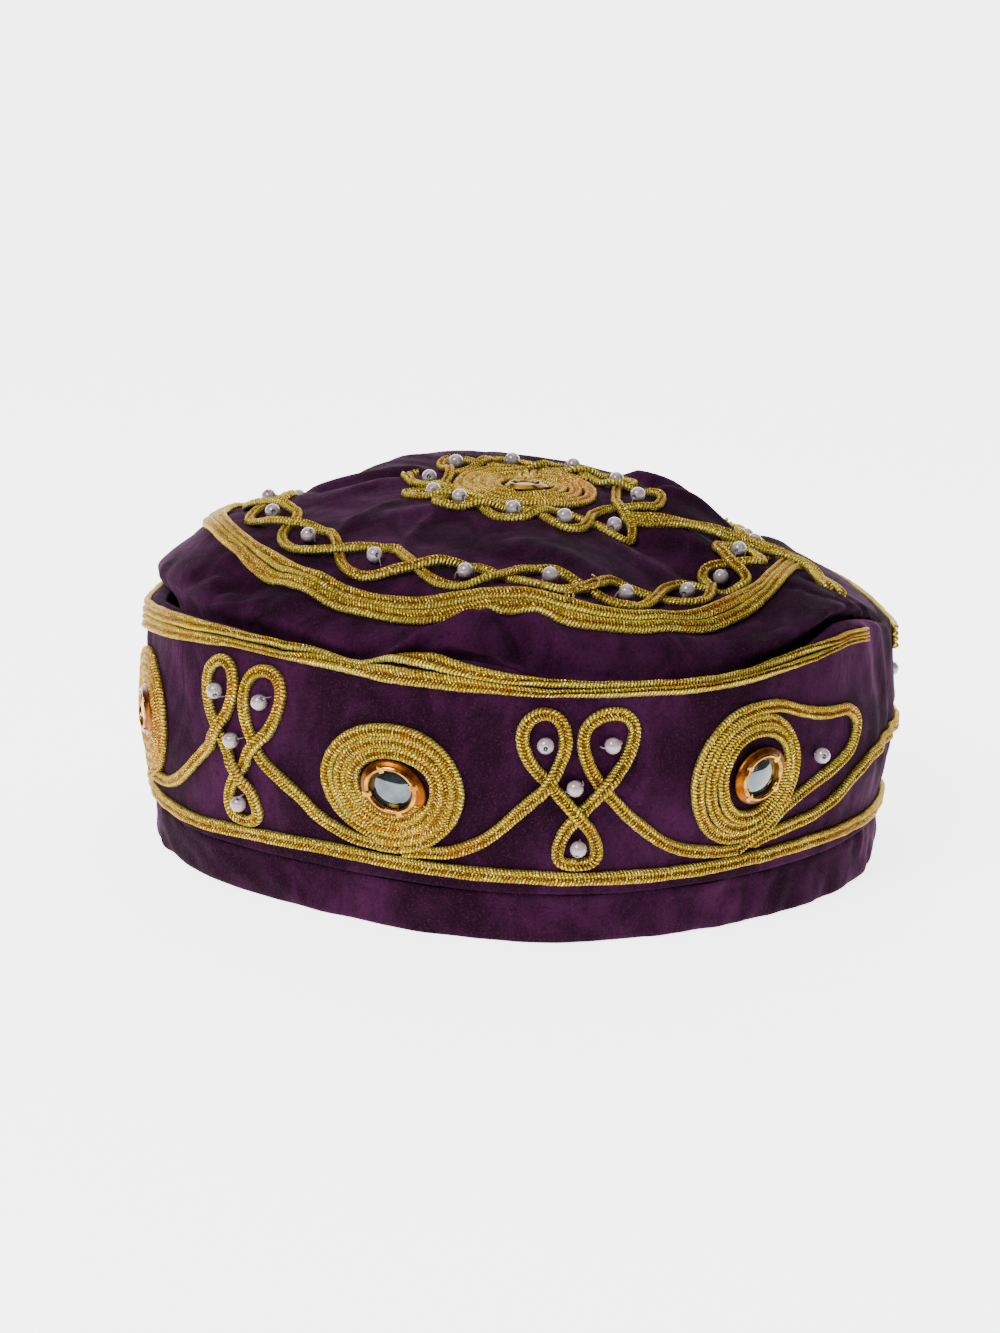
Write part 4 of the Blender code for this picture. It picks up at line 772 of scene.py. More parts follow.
def add_braid(parts, point, normal, at, width=BRAID_WIDTH, height=BRAID_HEIGHT, closed=False, tint=0.0, taper=(True, True), even=2):
    """Sweeps the two-ridged section along a course."""
    point = soften(point, even, closed)
    normal = soften(normal, 4, closed)
    ahead = np.gradient(point, axis=0)
    if closed:
        ahead[0] = ahead[-1] = point[1] - point[-2]
    ahead /= np.linalg.norm(ahead, axis=1, keepdims=True)
    side = np.cross(ahead, normal)
    side /= np.linalg.norm(side, axis=1, keepdims=True)
    out = np.cross(side, ahead)
    count = len(point)
    half = 0.5 * np.broadcast_to(np.asarray(width, float), (count,)).copy()
    tall = np.broadcast_to(np.asarray(height, float), (count,)).copy()
    # hand-laid braid is never quite even
    half *= 1.0 + 0.035 * np.sin(at * 0.37 + at[-1]) + 0.02 * np.sin(at * 1.9)
    tall *= 1.0 + 0.05 * np.sin(at * 0.61 + 2.0)
    if not closed:
        for end, use in ((at - at[0], taper[0]), (at[-1] - at, taper[1])):
            if use:
                close = np.sqrt(np.clip(end / 1.2, 0.02, 1.0))
                tall *= close
                half *= 0.6 + 0.4 * close
    grid = (point[:, None] + (half[:, None] * SECTION[None, :, 0])[..., None] * side[:, None]
            + (tall[:, None] * SECTION[None, :, 1])[..., None] * out[:, None])
    edge = len(SECTION)
    uv = np.stack([np.broadcast_to(at[:, None], (count, edge)), np.broadcast_to(SECTION[None, :, 0], (count, edge))], -1)
    tints = np.broadcast_to(np.asarray(tint, float), (count,))
    parts.add(grid, grid_faces(count, edge, False, True, True), uv, np.repeat(tints, edge))


def patchy(at, seed, share=0.25):
    """Stretches of braid where the orange core shows."""
    rng = np.random.default_rng(seed)
    level = sum(np.sin(at * TAU / length + rng.uniform(0, TAU)) for length in rng.uniform(14.0, 70.0, 5)) / 2.4
    return np.clip((level - 1.0 + share * 2.0) * 0.5, 0.0, 0.6)


def sphere_with_hole(parts, middle, axis, radius, hole=0.55, which=0):
    axis = axis / np.linalg.norm(axis)
    other = np.cross(axis, np.array([0.31, 0.52, 0.79]))
    other /= np.linalg.norm(other)
    third = np.cross(axis, other)
    polar_angles = np.linspace(math.asin(hole / radius), math.pi - math.asin(hole / radius), 15)
    ring = np.linspace(0.0, TAU, 24, endpoint=False)
    along = np.concatenate([[0.0], radius * np.cos(polar_angles), [0.0]])
    out = np.concatenate([[hole * 0.9], radius * np.sin(polar_angles), [hole * 0.9]])
    grid = (middle + along[:, None, None] * axis + out[:, None, None]
            * (np.cos(ring)[None, :, None] * other + np.sin(ring)[None, :, None] * third))
    parts.add(grid, grid_faces(len(along), len(ring), False, True), which=which)


def tube(parts, path, radius, which=0, sides=8):
    path = np.asarray(path, float)
    ahead = np.gradient(path, axis=0)
    ahead /= np.linalg.norm(ahead, axis=1, keepdims=True)
    guide = np.array([0.37, 0.21, 0.90])
    side = np.cross(ahead, guide)
    side /= np.linalg.norm(side, axis=1, keepdims=True)
    out = np.cross(side, ahead)
    ring = np.linspace(0.0, TAU, sides, endpoint=False)
    size = np.broadcast_to(np.asarray(radius, float), (len(path),))[:, None, None]
    grid = path[:, None] + size * (np.cos(ring)[None, :, None] * side[:, None] + np.sin(ring)[None, :, None] * out[:, None])
    parts.add(grid, grid_faces(len(path), sides, False, True, True), which=which)


def add_pearl(parts, base, normal, heading, tip=0.0, radius=PEARL_RADIUS):
    """A pearl on the cloth. heading is where its hole points in the cloth's plane, tip how far it stands up."""
    across = heading - normal * heading.dot(normal)
    across /= np.linalg.norm(across)
    axis = across * math.cos(tip) + normal * math.sin(tip)
    middle = base + normal * (radius + 0.15)
    sphere_with_hole(parts, middle, axis, radius)
    for sign in (1.0, -1.0):
        out = middle + sign * axis * radius
        reach = sign * across * 0.35
        path = [middle, middle + sign * axis * radius * 0.8, out + sign * axis * 0.06, out + reach - normal * 0.9, out + reach * 1.3 - normal * 2.6]
        tube(parts, dense(np.array(path), 4), 0.15, 1)


# ---------------------------------------------------------------- building

def build_cloth():
    velvet_band = velvet_material("velvet_band", 0.015, 24.0)
    velvet_crown = velvet_material("velvet_crown", 0.0, 21.0)
    velvet_hem = velvet_material("velvet_hem", 0.01, 30.0)
    lining = lining_material()
    az = np.linspace(-180.0, 180.0, 541)[:-1]
    # crown
    rows_out = np.concatenate([np.linspace(0.012, 0.85, 46), np.linspace(0.862, 1.5, 46), np.linspace(1.52, 2.0, 12)])
    outer = crown_surface(az[None], rows_out[:, None])
    rows_in = np.concatenate([np.linspace(0.02, 0.95, 20), np.linspace(0.98, 1.62, 28), [1.75, 1.97]])
    point, normal = on_surface(crown_surface, az[None] + 0.0 * rows_in[:, None], rows_in[:, None] + 0.0 * az[None], 0.0 * rows_in[:, None] + 0.0 * az[None])
    radial = np.stack([np.sin(np.radians(az)), -np.cos(np.radians(az)), 0.0 * az], -1)[None]
    q = rows_in[:, None, None]
    way = np.where(q > 1.3, radial, normal)
    way = np.where((q > 1.3) & (q < 1.5), radial * 0.75 + np.array([0.0, 0.0, 0.75]), way)
    inner = point - CROWN_CLOTH * way
    # the crown's seam allowance turns out to the band's wall and closes the groove
    seam = rim_height(az) - GROOVE_DEPTH - 0.7
    flange = [polar(az, band_wall(az, seam) - WALL + 0.5, seam), polar(az, band_wall(az, seam) - WALL + 0.5, seam - 0.9)]
    grid = np.concatenate([outer, np.array(flange), inner[::-1]])
    faces = grid_faces(len(grid), len(az), False, True, True)
    # the lining starts inside the ring
    which = (np.repeat(np.arange(len(grid) - 1), len(az)) >= len(rows_out) + 32).astype(int)
    piece("crown_cloth", grid.reshape(-1, 3), faces, [velvet_crown, lining], ["crown"], which=which)
    # band
    foot = HEM_CLOTH + GAP
    wall = lambda z: band_wall(az, 0.0 * az + z)
    rows = [polar(az, wall(2.0) - foot - WALL + 0.3, 2.0), polar(az, wall(2.0) - foot, 2.0),
            polar(az, wall(HEM_HEIGHT) - foot, HEM_HEIGHT + 0.3)]
    v = np.concatenate([np.linspace(0.0, 0.96, 78), np.linspace(0.97, 2.0, 26)])
    rows += list(band_surface(az[None], v[:, None]))
    start = rim_height(az) - ROLL
    rows.append(polar(az, edge_radius(az) - 2.0 * ROLL, rim_height(az) - GROOVE_DEPTH + 0.8))
    low = rim_height(az) - GROOVE_DEPTH - 0.8
    rows.append(polar(az, band_wall(az, low) - WALL, low))
    for share in (0.62, 0.25):
        z = HEM_HEIGHT + 1.2 + share * (start - HEM_HEIGHT - 1.2)
        rows.append(polar(az, band_wall(az, z) - WALL, z))
    rows.append(polar(az, wall(HEM_HEIGHT) - foot - WALL + 0.3, HEM_HEIGHT + 1.2))
    grid = np.array(rows)
    which = np.zeros((len(grid), len(az)), int)
    which[3 + len(v):] = 1
    piece("band_cloth", grid.reshape(-1, 3), grid_faces(len(grid), len(az), True, True), [velvet_band, lining],
          ["band"], which=which.ravel())
    # hem: a soft folded strip with a stitched crease near its top edge
    section = ((3.0, 0.25), (1.4, 0.0), (0.55, 0.25), (0.1, 1.0), (-0.1, 2.4), (-0.15, 4.4), (-0.1, 6.4), (0.0, 7.8), (0.12, 8.8),
               (0.12, 9.8), (0.30, 10.8), (0.72, 11.55), (1.35, 11.2), (1.55, 10.2), (1.5, 6.0), (1.5, 1.6), (4.3, 1.6), (4.3, 9.0), (5.8, 9.0),
               (5.8, 0.9), (5.0, 0.1))
    table = dense(section, 3, True)
    a = np.radians(az)
    rows = []
    for inset, z in table:
        outside = ramp(np.array(1.45 - inset), 0.0, 0.6)
        flat = polar(az, wall(z) - inset, z)
        swell = outside * (ripple(flat, RIPPLES) * 0.62 + ripple(flat, CREASES) * 0.34 - 0.15)
        rows.append(polar(az, wall(z) - inset + swell, max(z, 0.0)))
    which = np.repeat(((table[:, 0] > 3.4) & (table[:, 1] > 0.5)).astype(int), len(az))
    piece("hem_cloth", np.array(rows).reshape(-1, 3), grid_faces(len(rows), len(az), True, True, False), [velvet_hem, lining],
          ["hem"], which=which)


def single(name, nodes, gold, courses):
    parts = Parts()
    for course in courses:
        add_braid(parts, *course[0], **course[1])
    return parts.make(name, [gold], nodes)


def coil_course(spot, surface, half_width, half_height, hole_width, hole_height, shift, start, turns, seed, warm=None, lean=0.0):
    """One braid wound inwards, anticlockwise as seen from outside."""
    pitch_w, pitch_h = (half_width - hole_width) / turns, (half_height - hole_height) / turns
    turn = np.linspace(0.0, turns, int(turns * 90))
    angle = np.radians(start) + TAU * turn
    a = (half_width - 0.12 * pitch_w) - pitch_w * turn
    b = (half_height - 0.12 * pitch_h) - pitch_h * turn
    share = turn / turns
    # the course never gets wider than the disc
    x = a * np.cos(angle) + shift * share
    y = b * np.sin(angle)
    wobble = 0.22 * np.sin(angle * 3.0 + seed) * (0.3 + share)
    x += wobble * np.cos(angle)
    y += wobble * np.sin(angle)
    x += lean * y
    az, row = spot(x, y)
    tint_at = 0.0 * turn if warm is None else warm(x, y, share)
    point, normal, at, table = lay(surface, az, row, 0.12 * np.sin(angle * 2.3 + seed), False, 0.5, [tint_at, pitch_w + (pitch_h - pitch_w) * np.abs(np.sin(angle))])
    return (point, normal, at), table, (x, y)


def build_band_braids(gold):
    az = np.linspace(-180.0, 180.0, 720, endpoint=False)
    row = band_row(az, round_spline(BAND, 5, az) + 0.25 * np.sin(np.radians(az) * 9.0 + 1.0) * 0.6)
    point, normal, at, table = lay(band_surface, az, row, 0.0, True)
    single("lower_trim_braid", ["lower_trim"], gold, [((point, normal, at), dict(closed=True, width=3.2, tint=patchy(at, 1, 0.2)))])
    az = np.linspace(SEAM_END, SEAM_START + 360.0, 700)
    low = round_spline(BAND, 6, az)
    room = rim_height(az) - ROLL - low + math.radians(165.0) * ROLL
    gather = np.array(TRIM_GATHER)
    squeeze = np.minimum(np.interp((az + 180.0) % 360.0 - 180.0, gather[:, 0], gather[:, 1]), room / (2.0 * BRAID_WIDTH))
    for k, letter in enumerate("ab"):
        rise = np.interp(az, (24.0, 44.0, 72.0), (0.0, 0.7, 1.2)) * (az < 75.0)
        row = band_row(az, low, BRAID_WIDTH * squeeze * (k + 0.5) + rise)
        point, normal, at, table = lay(band_surface, az, row, 0.15 * k, False, 0.5, [squeeze])
        single("upper_trim_braid_" + letter, ["upper_trim_" + letter], gold,
               [((point, normal, at), dict(width=BRAID_WIDTH * 1.03 * table[:, 3], tint=patchy(at, 2 + k, 0.2)))])
    starts = {}
    for (name, azimuth, height, half_width, half_height, shift), (_, start, turns) in zip(COILS, COIL_RUNS):
        spot = lambda x, y: band_spot(azimuth, x, height + y)
        warm = None
        hole = (8.5, 6.6)
        if name == "3":
            hole = (8.6, 8.6)
            warm = lambda x, y, share: 0.75 * ramp(share, 0.72, 0.8) * np.clip(0.2 + 0.9 * np.cos(np.arctan2(y, x) - 0.6), 0.0, 1.0)
        if name == "1":
            warm = lambda x, y, share: 0.55 * np.clip(0.6 + 0.5 * np.cos(np.arctan2(y, x)), 0.0, 1.0)
        course, table, (x, y) = coil_course(spot, band_surface, half_width + 0.3, half_height + 0.6, hole[0] + 0.4, hole[1] + 0.4, shift,
                                            start, turns, ord(name), warm, 0.10 if name == "3" else 0.0)
        starts[name] = (x[:6], height + y[:6])
        single("coil_" + name, ["coil_braid_" + name], gold,
               [(course, dict(width=np.clip(table[:, 4] * 1.2, 3.1, 3.5), tint=table[:, 3] + patchy(course[2], 20 + ord(name), 0.2),
                              taper=(False, True)))])
    for name, azimuth, before, after in FIGURES:
        gap_left = ((azimuth - COILS[before][1] + 180.0) % 360.0 - 180.0) * SPAN
        gap_right = ((COILS[after][1] - azimuth + 180.0) % 360.0 - 180.0) * SPAN
        reach_left, reach_right = gap_left - 8.0, gap_right - 8.0
        # the right tail runs on into the next coil's outer turn, the left one tucks in under the coil before
        x0, z0 = starts[COILS[after][0]]
        wide, tall, middle = COILS[after][3], COILS[after][4], COILS[after][2]
        if COILS[after][0] == "3":
            right = [(12.2, 30.0), (19.6, 24.1), (gap_right - 16.5, 21.3), (gap_right - 10.5, 20.0), (gap_right - 5.0, 19.3), (gap_right - 1.0, 19.2)]
        else:
            right = [(gap_right + wide * across, middle + tall * up) for across, up in
                     ((-1.31, -0.47), (-1.08, -0.70), (-0.80, -0.87), (-0.50, -0.975))] + [(gap_right + x0[0], z0[0]), (gap_right + x0[4], z0[4])]
            right = [(0.5 * (8.3 + right[0][0]), 0.5 * (34.0 + right[0][1]))] + right if right[0][0] > 14.0 else right
        left = [(-8.7 - share * (reach_left - 8.7), z) for share, z in TAIL[::-1]] if name != "3" else list(LONG_TAIL)
        left = [(-gap_left + 3.0, 19.3)] + left
        run = np.array([(*spot, 0.0) for spot in left] + list(FIGURE_RUN) + [(*spot, 0.0) for spot in right])
        fine = dense(run[:, :2], 14)
        gone = np.concatenate([[0.0], np.cumsum(np.hypot(*np.diff(fine, axis=0).T))])
        lift = np.zeros(len(fine))
        used = 0
        for x, z, over in run:
            if over < 0.5:
                continue
            near = np.hypot(fine[:, 0] - x, fine[:, 1] - z)
            near[:used] = 99.0
            first = int(np.argmax(near < 2.0))
            at = first + int(np.argmin(near[first:first + 24]))
            used = at + 20
            lift = np.maximum(lift, 1.0 - ramp(np.abs(gone - gone[at]), 1.6, 5.2))
        az, row = band_spot(azimuth, fine[:, 0], figure_height(azimuth, fine[:, 0], fine[:, 1]))
        point, normal, at, table = lay(band_surface, az, row, BRAID_LIFT * lift)
        single("figure_" + name, ["loop_braid_" + name], gold,
               [((point, normal, at), dict(width=2.95, tint=patchy(at, 40 + int(name), 0.34), taper=(True, False)))])
    x0, z0 = starts["3"]
    lead = ((x0[0] + 9.6, z0[0] - 0.7), (x0[0] + 4.8, z0[0] + 0.1), (x0[0], z0[0]), (x0[4], z0[4]))
    fine = dense(LOOSE_LOOP + lead, 12)
    az, row = band_spot(COILS[2][1], fine[:, 0], fine[:, 1])
    point, normal, at, table = lay(band_surface, az, row, 0.0)
    single("loose_loop", ["side_loop"], gold, [((point, normal, at), dict(width=2.95, tint=patchy(at, 60, 0.25), taper=(False, False)))])


def row_reach(azimuth, q):
    """Millimetres along the crown per unit of q."""
    return np.linalg.norm(crown_surface(azimuth, q + 0.012) - crown_surface(azimuth, q - 0.012), axis=-1) / 0.024


def build_crown_braids(gold):
    az = np.linspace(-180.0, 180.0, 720, endpoint=False)
    for k, letter in enumerate("ab"):
        row = 1.0 - 0.124 * (0.25 + 0.5 * k) + 0.0 * az
        point, normal, at, table = lay(crown_surface, az, row, 0.15, True)
        width = np.clip(0.5 * np.linalg.norm(crown_surface(table[:, 0], 0.0 * at + 0.876) - crown_surface(table[:, 0], 0.0 * at + 1.0), axis=-1) * 1.0, 2.7, 3.75)
        single("ring_braid_" + letter, ["ring_trim_" + letter], gold,
               [((point, normal, at), dict(closed=True, width=width, tint=patchy(at, 70 + k, 0.22), even=12))])
    # two wavy strands that cross between the pearls
    eyes = np.array(WAVE_EYES + (WAVE_EYES[0] + 360.0,))
    count = len(WAVE_EYES)
    turn = np.arange(count * 24) / 24.0
    wide = np.concatenate([eyes[-3:-1] - 360.0, eyes, eyes[1:3] + 360.0])
    azimuth = dense(wide[:, None], 24)[48:48 + count * 24, 0]
    for letter, sign in (("a", 1.0), ("b", -1.0)):
        swing = sign * np.cos(math.pi * turn)
        reach = row_reach(azimuth, WAVE_Q + 0.0 * azimuth)
        row = WAVE_Q + swing * (WAVE_SWING + 0.9) / reach * (1.0 + 0.06 * np.sin(azimuth * 0.13))
        over = np.interp(np.abs(turn % 1.0 - 0.5), (0.0, 0.16, 0.42, 0.5), (1.0, 1.0, 0.0, 0.0)) * ((np.floor(turn) % 2 == 0) == (sign > 0))
        point, normal, at, table = lay(crown_surface, azimuth, row, BRAID_LIFT * over, True)
        parts = Parts()
        add_braid(parts, point, normal, at, closed=True, width=2.6, tint=patchy(at, 80 + ord(letter), 0.3), even=3)
        if letter == "a":
            for strand in LOOSE_THREADS:
                spots = np.array(strand)
                ends, outward = on_surface(crown_surface, spots[:, 0], spots[:, 1], spots[:, 2])
                tube(parts, dense(ends, 8), 0.28, 0, 6)
        parts.make("wave_braid_run_" + letter, [gold], ["wave_braid_" + letter])
    # medallion coil
    spot = crown_spot
    warm = lambda x, y, share: 0.95 * np.exp(-((np.degrees(np.arctan2(y, x)) - 5.0) / 42.0) ** 2) * ramp(0.9 - share, 0.0, 0.5)
    course, table, _ = coil_course(spot, crown_surface, 19.0, 19.0, 7.0, 6.6, -2.0, 40.0, 3.6, 3.0, warm)
    single("medallion_coil_run", ["medallion_coil"], gold,
           [(course, dict(width=3.45, tint=table[:, 3] + patchy(course[2], 90, 0.2), taper=(False, True)))])
    # medallion loops: the strand goes round twice, outside and inside the pearls by turns
    course = []
    for lap in range(2):
        for k, (az_p, r_p, az_out, r_out, r_near, az_x, r_x) in enumerate(MEDALLION_EYES):
            az_prev = MEDALLION_EYES[k - 1][5] - (360.0 if k == 0 else 0.0)
            outer = (k + lap) % 2 == 0
            whole = 360.0 * lap
            if outer:
                lean = az_out - az_p
                course.append((whole + az_prev * 0.46 + az_out * 0.54, 0.36 * MEDALLION_EYES[k - 1][6] + 0.64 * r_out + 0.8, 0.0))
                course.append((whole + az_out, r_out, 0.0))
                course.append((whole + az_x * 0.46 + az_out * 0.54, 0.36 * r_x + 0.64 * r_out + 0.8, 0.0))
            else:
                course.append((whole + az_p, r_near, 0.0))
            course.append((whole + az_x, r_x, 1.0 if (k + lap) % 2 == 0 else 0.0))
    table = np.array(course)
    table = np.concatenate([table[-3:] - np.array([720.0, 0.0, 0.0]), table, table[:3] + np.array([720.0, 0.0, 0.0])])
    plan = np.stack([table[:, 1] * np.sin(np.radians(table[:, 0])), -table[:, 1] * np.cos(np.radians(table[:, 0])), table[:, 2]], -1)
    fine = dense(plan, 16)[3 * 16:-3 * 16 - 1]
    gone = np.concatenate([[0.0], np.cumsum(np.hypot(*np.diff(fine[:, :2], axis=0).T))])
    lift = np.zeros(len(fine))
    for k in range(len(plan)):
        if plan[k, 2] > 0.5:
            near = np.hypot(fine[:, 0] - plan[k, 0], fine[:, 1] - plan[k, 1]) + 50.0 * (fine[:, 2] < 0.5)
            at = int(np.argmin(near))
            lift = np.maximum(lift, 1.0 - ramp(np.abs(gone - gone[at]), 1.6, 4.6))
    az_f, row_f = crown_spot(fine[:, 0], fine[:, 1])
    az_f = np.degrees(np.unwrap(np.radians(az_f)))
    point, normal, at, table = lay(crown_surface, az_f, row_f, BRAID_LIFT * lift, False)
    single("medallion_loops_run", ["medallion_loops"], gold,
           [((point, normal, at), dict(width=2.4, height=1.5, tint=patchy(at, 95, 0.25), taper=(False, False), even=5))])
    # the double braid down to the side seam
    base = np.array(RADIAL)[:-1]
    start = np.array([[58.0, 0.36, 0.0], [60.0, 0.41, 0.2]])
    base = np.concatenate([start, base])
    fine = dense(base, 12)
    middle, normal = on_surface(crown_surface, fine[:, 0], fine[:, 1], 0.0 * fine[:, 0])
    side = np.cross(np.gradient(middle, axis=0), normal)
    side /= np.linalg.norm(side, axis=1, keepdims=True)
    round_way, down_way = crown_surface(fine[:, 0] + 1.0, fine[:, 1]) - middle, crown_surface(fine[:, 0], fine[:, 1] + 0.02) - middle
    share = lambda way: np.einsum("ij,ij->i", side, way) / np.einsum("ij,ij->i", way, way)
    gap = np.interp(fine[:, 1], (0.36, 0.75, 0.95, 1.15, 1.33), (0.66, 0.66, 0.95, 1.0, 0.9))
    for letter, shift in (("a", -1.68 * gap), ("b", 1.68 * gap)):
        point, normal, at, table = lay(crown_surface, fine[:, 0] + shift * share(round_way), fine[:, 1] + 0.02 * shift * share(down_way),
                                       0.95 * fine[:, 2], extra=[gap])
        single("radial_braid_run_" + letter, ["radial_braid_" + letter], gold, [((point, normal, at), dict(width=3.3 * table[:, 3], tint=patchy(at, 97, 0.3), even=10))])


def build_mount(name, point, normal, upward, copper, rim, mirror, size=1.0, tilt=0.0, lean=0.0, low=1.0):
    """A copper bezel with four claws round a domed mirror."""
    side = np.cross(upward, normal)
    side /= np.linalg.norm(side)
    up = np.cross(normal, side)
    if lean:
        normal = normal + lean * side
        normal /= np.linalg.norm(normal)
        side = side - normal * side.dot(normal)
        side /= np.linalg.norm(side)
        up = np.cross(normal, side)
    turn = np.linspace(0.0, TAU, 72, endpoint=False)
    c, s = np.cos(turn)[:, None], np.sin(turn)[:, None]
    ct, st = math.cos(tilt), math.sin(tilt)
    u_axis, v_axis = ct * side + st * up, -st * side + ct * up

    def ring(radius, height, flank=0.0):
        wide = radius * (1.10 + flank * np.maximum(np.cos(turn)[:, None], 0.0) ** 2)
        return point + wide * c * u_axis + radius * 0.96 * s * v_axis + height * low * normal

    parts = Parts()
    section = ((7.1, 0.5, 0.12), (7.15, 1.0, 0.12), (6.7, 1.5, 0.10), (6.15, 1.75, 0.04), (5.9, 2.25, 0.0), (5.62, 2.55, 0.0), (5.3, 2.6, 0.0),
               (5.02, 2.4, 0.0), (4.9, 2.0, 0.0), (4.88, 1.2, 0.0), (4.88, 0.7, 0.0))
    grid = np.array([ring(size * r, h, f) for r, h, f in section])
    # the outer flank takes the first copper; the top edge, inner wall and claws take the second (for the band's bezels
    # a painted shade and a painted highlight)
    parts.add(grid[:5], grid_faces(5, 72, False, True))
    parts.add(grid[4:], grid_faces(len(grid) - 4, 72, False, True), which=1)
    for angle in (35.0, 128.0, 215.0, 305.0):
        a = math.radians(angle)
        out = math.cos(a) * u_axis * 1.10 + math.sin(a) * v_axis * 0.96
        out /= np.linalg.norm(out)
        across = np.cross(normal, out)
        middle = point + math.cos(a) * u_axis * 5.55 * size * 1.10 + math.sin(a) * v_axis * 5.55 * size * 0.96 + normal * 2.45 * low
        u = np.linspace(-1.0, 1.0, 7)
        rows = []
        for x in u:
            rows.append([middle + out * x * 1.05 + across * w * (0.72 - 0.2 * abs(x)) + normal * (0.42 * (1.0 - x * x) * (1.0 - w * w * 0.4) - 0.12)
                         for w in np.linspace(-1.0, 1.0, 7)])
        parts.add(np.array(rows), grid_faces(7, 7, flip=True), which=1)
    parts.make("bezel_metal_" + name, [copper, rim], ["bezel_" + name])
    parts = Parts()
    radii = np.linspace(4.95, 0.05, 12)
    grid = np.array([ring(size * r, 1.05 + 1.35 * (1.0 - (r / 4.95) ** 2)) for r in radii])
    parts.add(grid, grid_faces(12, 72, False, True))
    node = "stone_centre" if name == "centre" else "mirror_" + name
    parts.make(node + "_glass", [mirror], [node])


def build_mounts():
    # The flank copper is darker than the rim copper: painted shade on the bezels' sides, painted highlight on their top
    # edge and claws.
    copper = copper_material("copper_flank_painted_shade", (0.100, 0.024, 0.0010), (0.220, 0.064, 0.0035), 0.22)
    rim = copper_material("copper_rim_painted_highlight", (0.230, 0.085, 0.0060), (0.520, 0.260, 0.040), 0.08)
    mirror = mirror_material()
    #  name  tilt of the oval, lean of the face
    settings = {"1": (0.1, 0.0), "2": (-0.32, 0.10), "3": (0.25, 0.05), "4": (0.0, 0.0), "5": (0.2, 0.0), "6": (-0.1, 0.0)}
    for name, azimuth, height, half_width, half_height, shift in COILS:
        az, row = band_spot(azimuth, np.array([shift]), height)
        point, normal = on_surface(band_surface, az, row, 0.0 * az)
        build_mount(name, point[0], normal[0], np.array([0.0, 0.0, 1.0]), copper, rim, mirror, 0.96, *settings[name])
    point, normal = on_surface(crown_surface, np.array([0.0]), np.array([0.0]), np.array([0.0]))
    build_mount("centre", point[0] - np.array([1.2, 0.0, 0.0]), np.array([0.0, 0.0, 1.0]), np.array([0.0, 1.0, 0.0]),
                copper_material("copper_centre_flank", (0.200, 0.095, 0.0040), (0.340, 0.190, 0.0120), 0.35),
                copper_material("copper_centre", (0.170, 0.090, 0.0040), (0.300, 0.180, 0.0120), 0.25),
                mirror_material("centre_glass", (0.120, 0.045, 0.0030), (0.300, 0.140, 0.012), 0.4, 0.1), 0.66, low=0.5)


def build_pearls():
    pearl, thread = pearl_material(), thread_material()
    #  along  height  direction of the hole in the cloth's plane (degrees from the right)  how far it stands up
    facing = ((250.0, 0.75), (30.0, 0.35), (262.0, 1.38), (15.0, 0.15))
    for name, azimuth, before, after in FIGURES:
        parts = Parts()
        for k, (along, height) in enumerate(FIGURE_PEARLS):
            turn, tip = facing[k]
            if name == "1":
                turn, tip = ((70.0, 0.2), (200.0, 0.3), (330.0, 0.5), (40.0, 0.2))[k]
            elif name not in ("1", "2"):
                turn += 77.0 * int(name)
            az, row = band_spot(azimuth, np.array([along]), figure_height(azimuth, np.array([along]), np.array([height])))
            point, normal = on_surface(band_surface, az, row, 0.0 * az)
            right = np.array([math.cos(math.radians(az[0])), math.sin(math.radians(az[0])), 0.0])
            heading = right * math.cos(math.radians(turn)) + np.array([0.0, 0.0, 1.0]) * math.sin(math.radians(turn))
            add_pearl(parts, point[0], normal[0], heading, tip)
        parts.make("pearls_figure_" + name, [pearl, thread], ["pearls_loops_" + name])
    parts = Parts()
    az, row = band_spot(COILS[2][1], np.array([22.3]), np.array([38.2]))
    point, normal = on_surface(band_surface, az, row, 0.0 * az)
    right = np.array([math.cos(math.radians(az[0])), math.sin(math.radians(az[0])), 0.0])
    add_pearl(parts, point[0], normal[0], -right + np.array([0.0, 0.0, 0.3]), 0.95)
    parts.make("pearl_loose_loop", [pearl, thread], ["pearl_side"])
    parts = Parts()
    for k, eye in enumerate(WAVE_EYES):
        if k == EMPTY_EYE:
            continue
        point, normal = on_surface(crown_surface, np.array([eye]), np.array([WAVE_Q]), np.array([0.0]))
        a = math.radians(eye + 25.0 * math.sin(k * 2.4))
        add_pearl(parts, point[0], normal[0], np.array([math.cos(a), math.sin(a), 0.0]), 0.25 + 0.5 * (k % 3 == 1))
    parts.make("pearls_wave_run", [pearl, thread], ["pearls_wave"])
    parts = Parts()
    for k, (az_p, r_p, az_out, r_out, r_near, az_x, r_x) in enumerate(MEDALLION_EYES):
        x, y = r_p * math.sin(math.radians(az_p)), -r_p * math.cos(math.radians(az_p))
        az, row = crown_spot(np.array([x]), np.array([y]))
        point, normal = on_surface(crown_surface, az, row, 0.0 * az)
        a = math.radians(az_p + 40.0 * math.sin(k * 1.7))
        tip = 0.2
        heading = np.array([math.cos(a), math.sin(a), 0.0])
        if k == 1:
            heading, tip = np.array([0.1, -1.0, 0.15]), 0.15
        add_pearl(parts, point[0], normal[0], heading, tip)
    parts.make("pearls_medallion_run", [pearl, thread], ["pearls_medallion"])


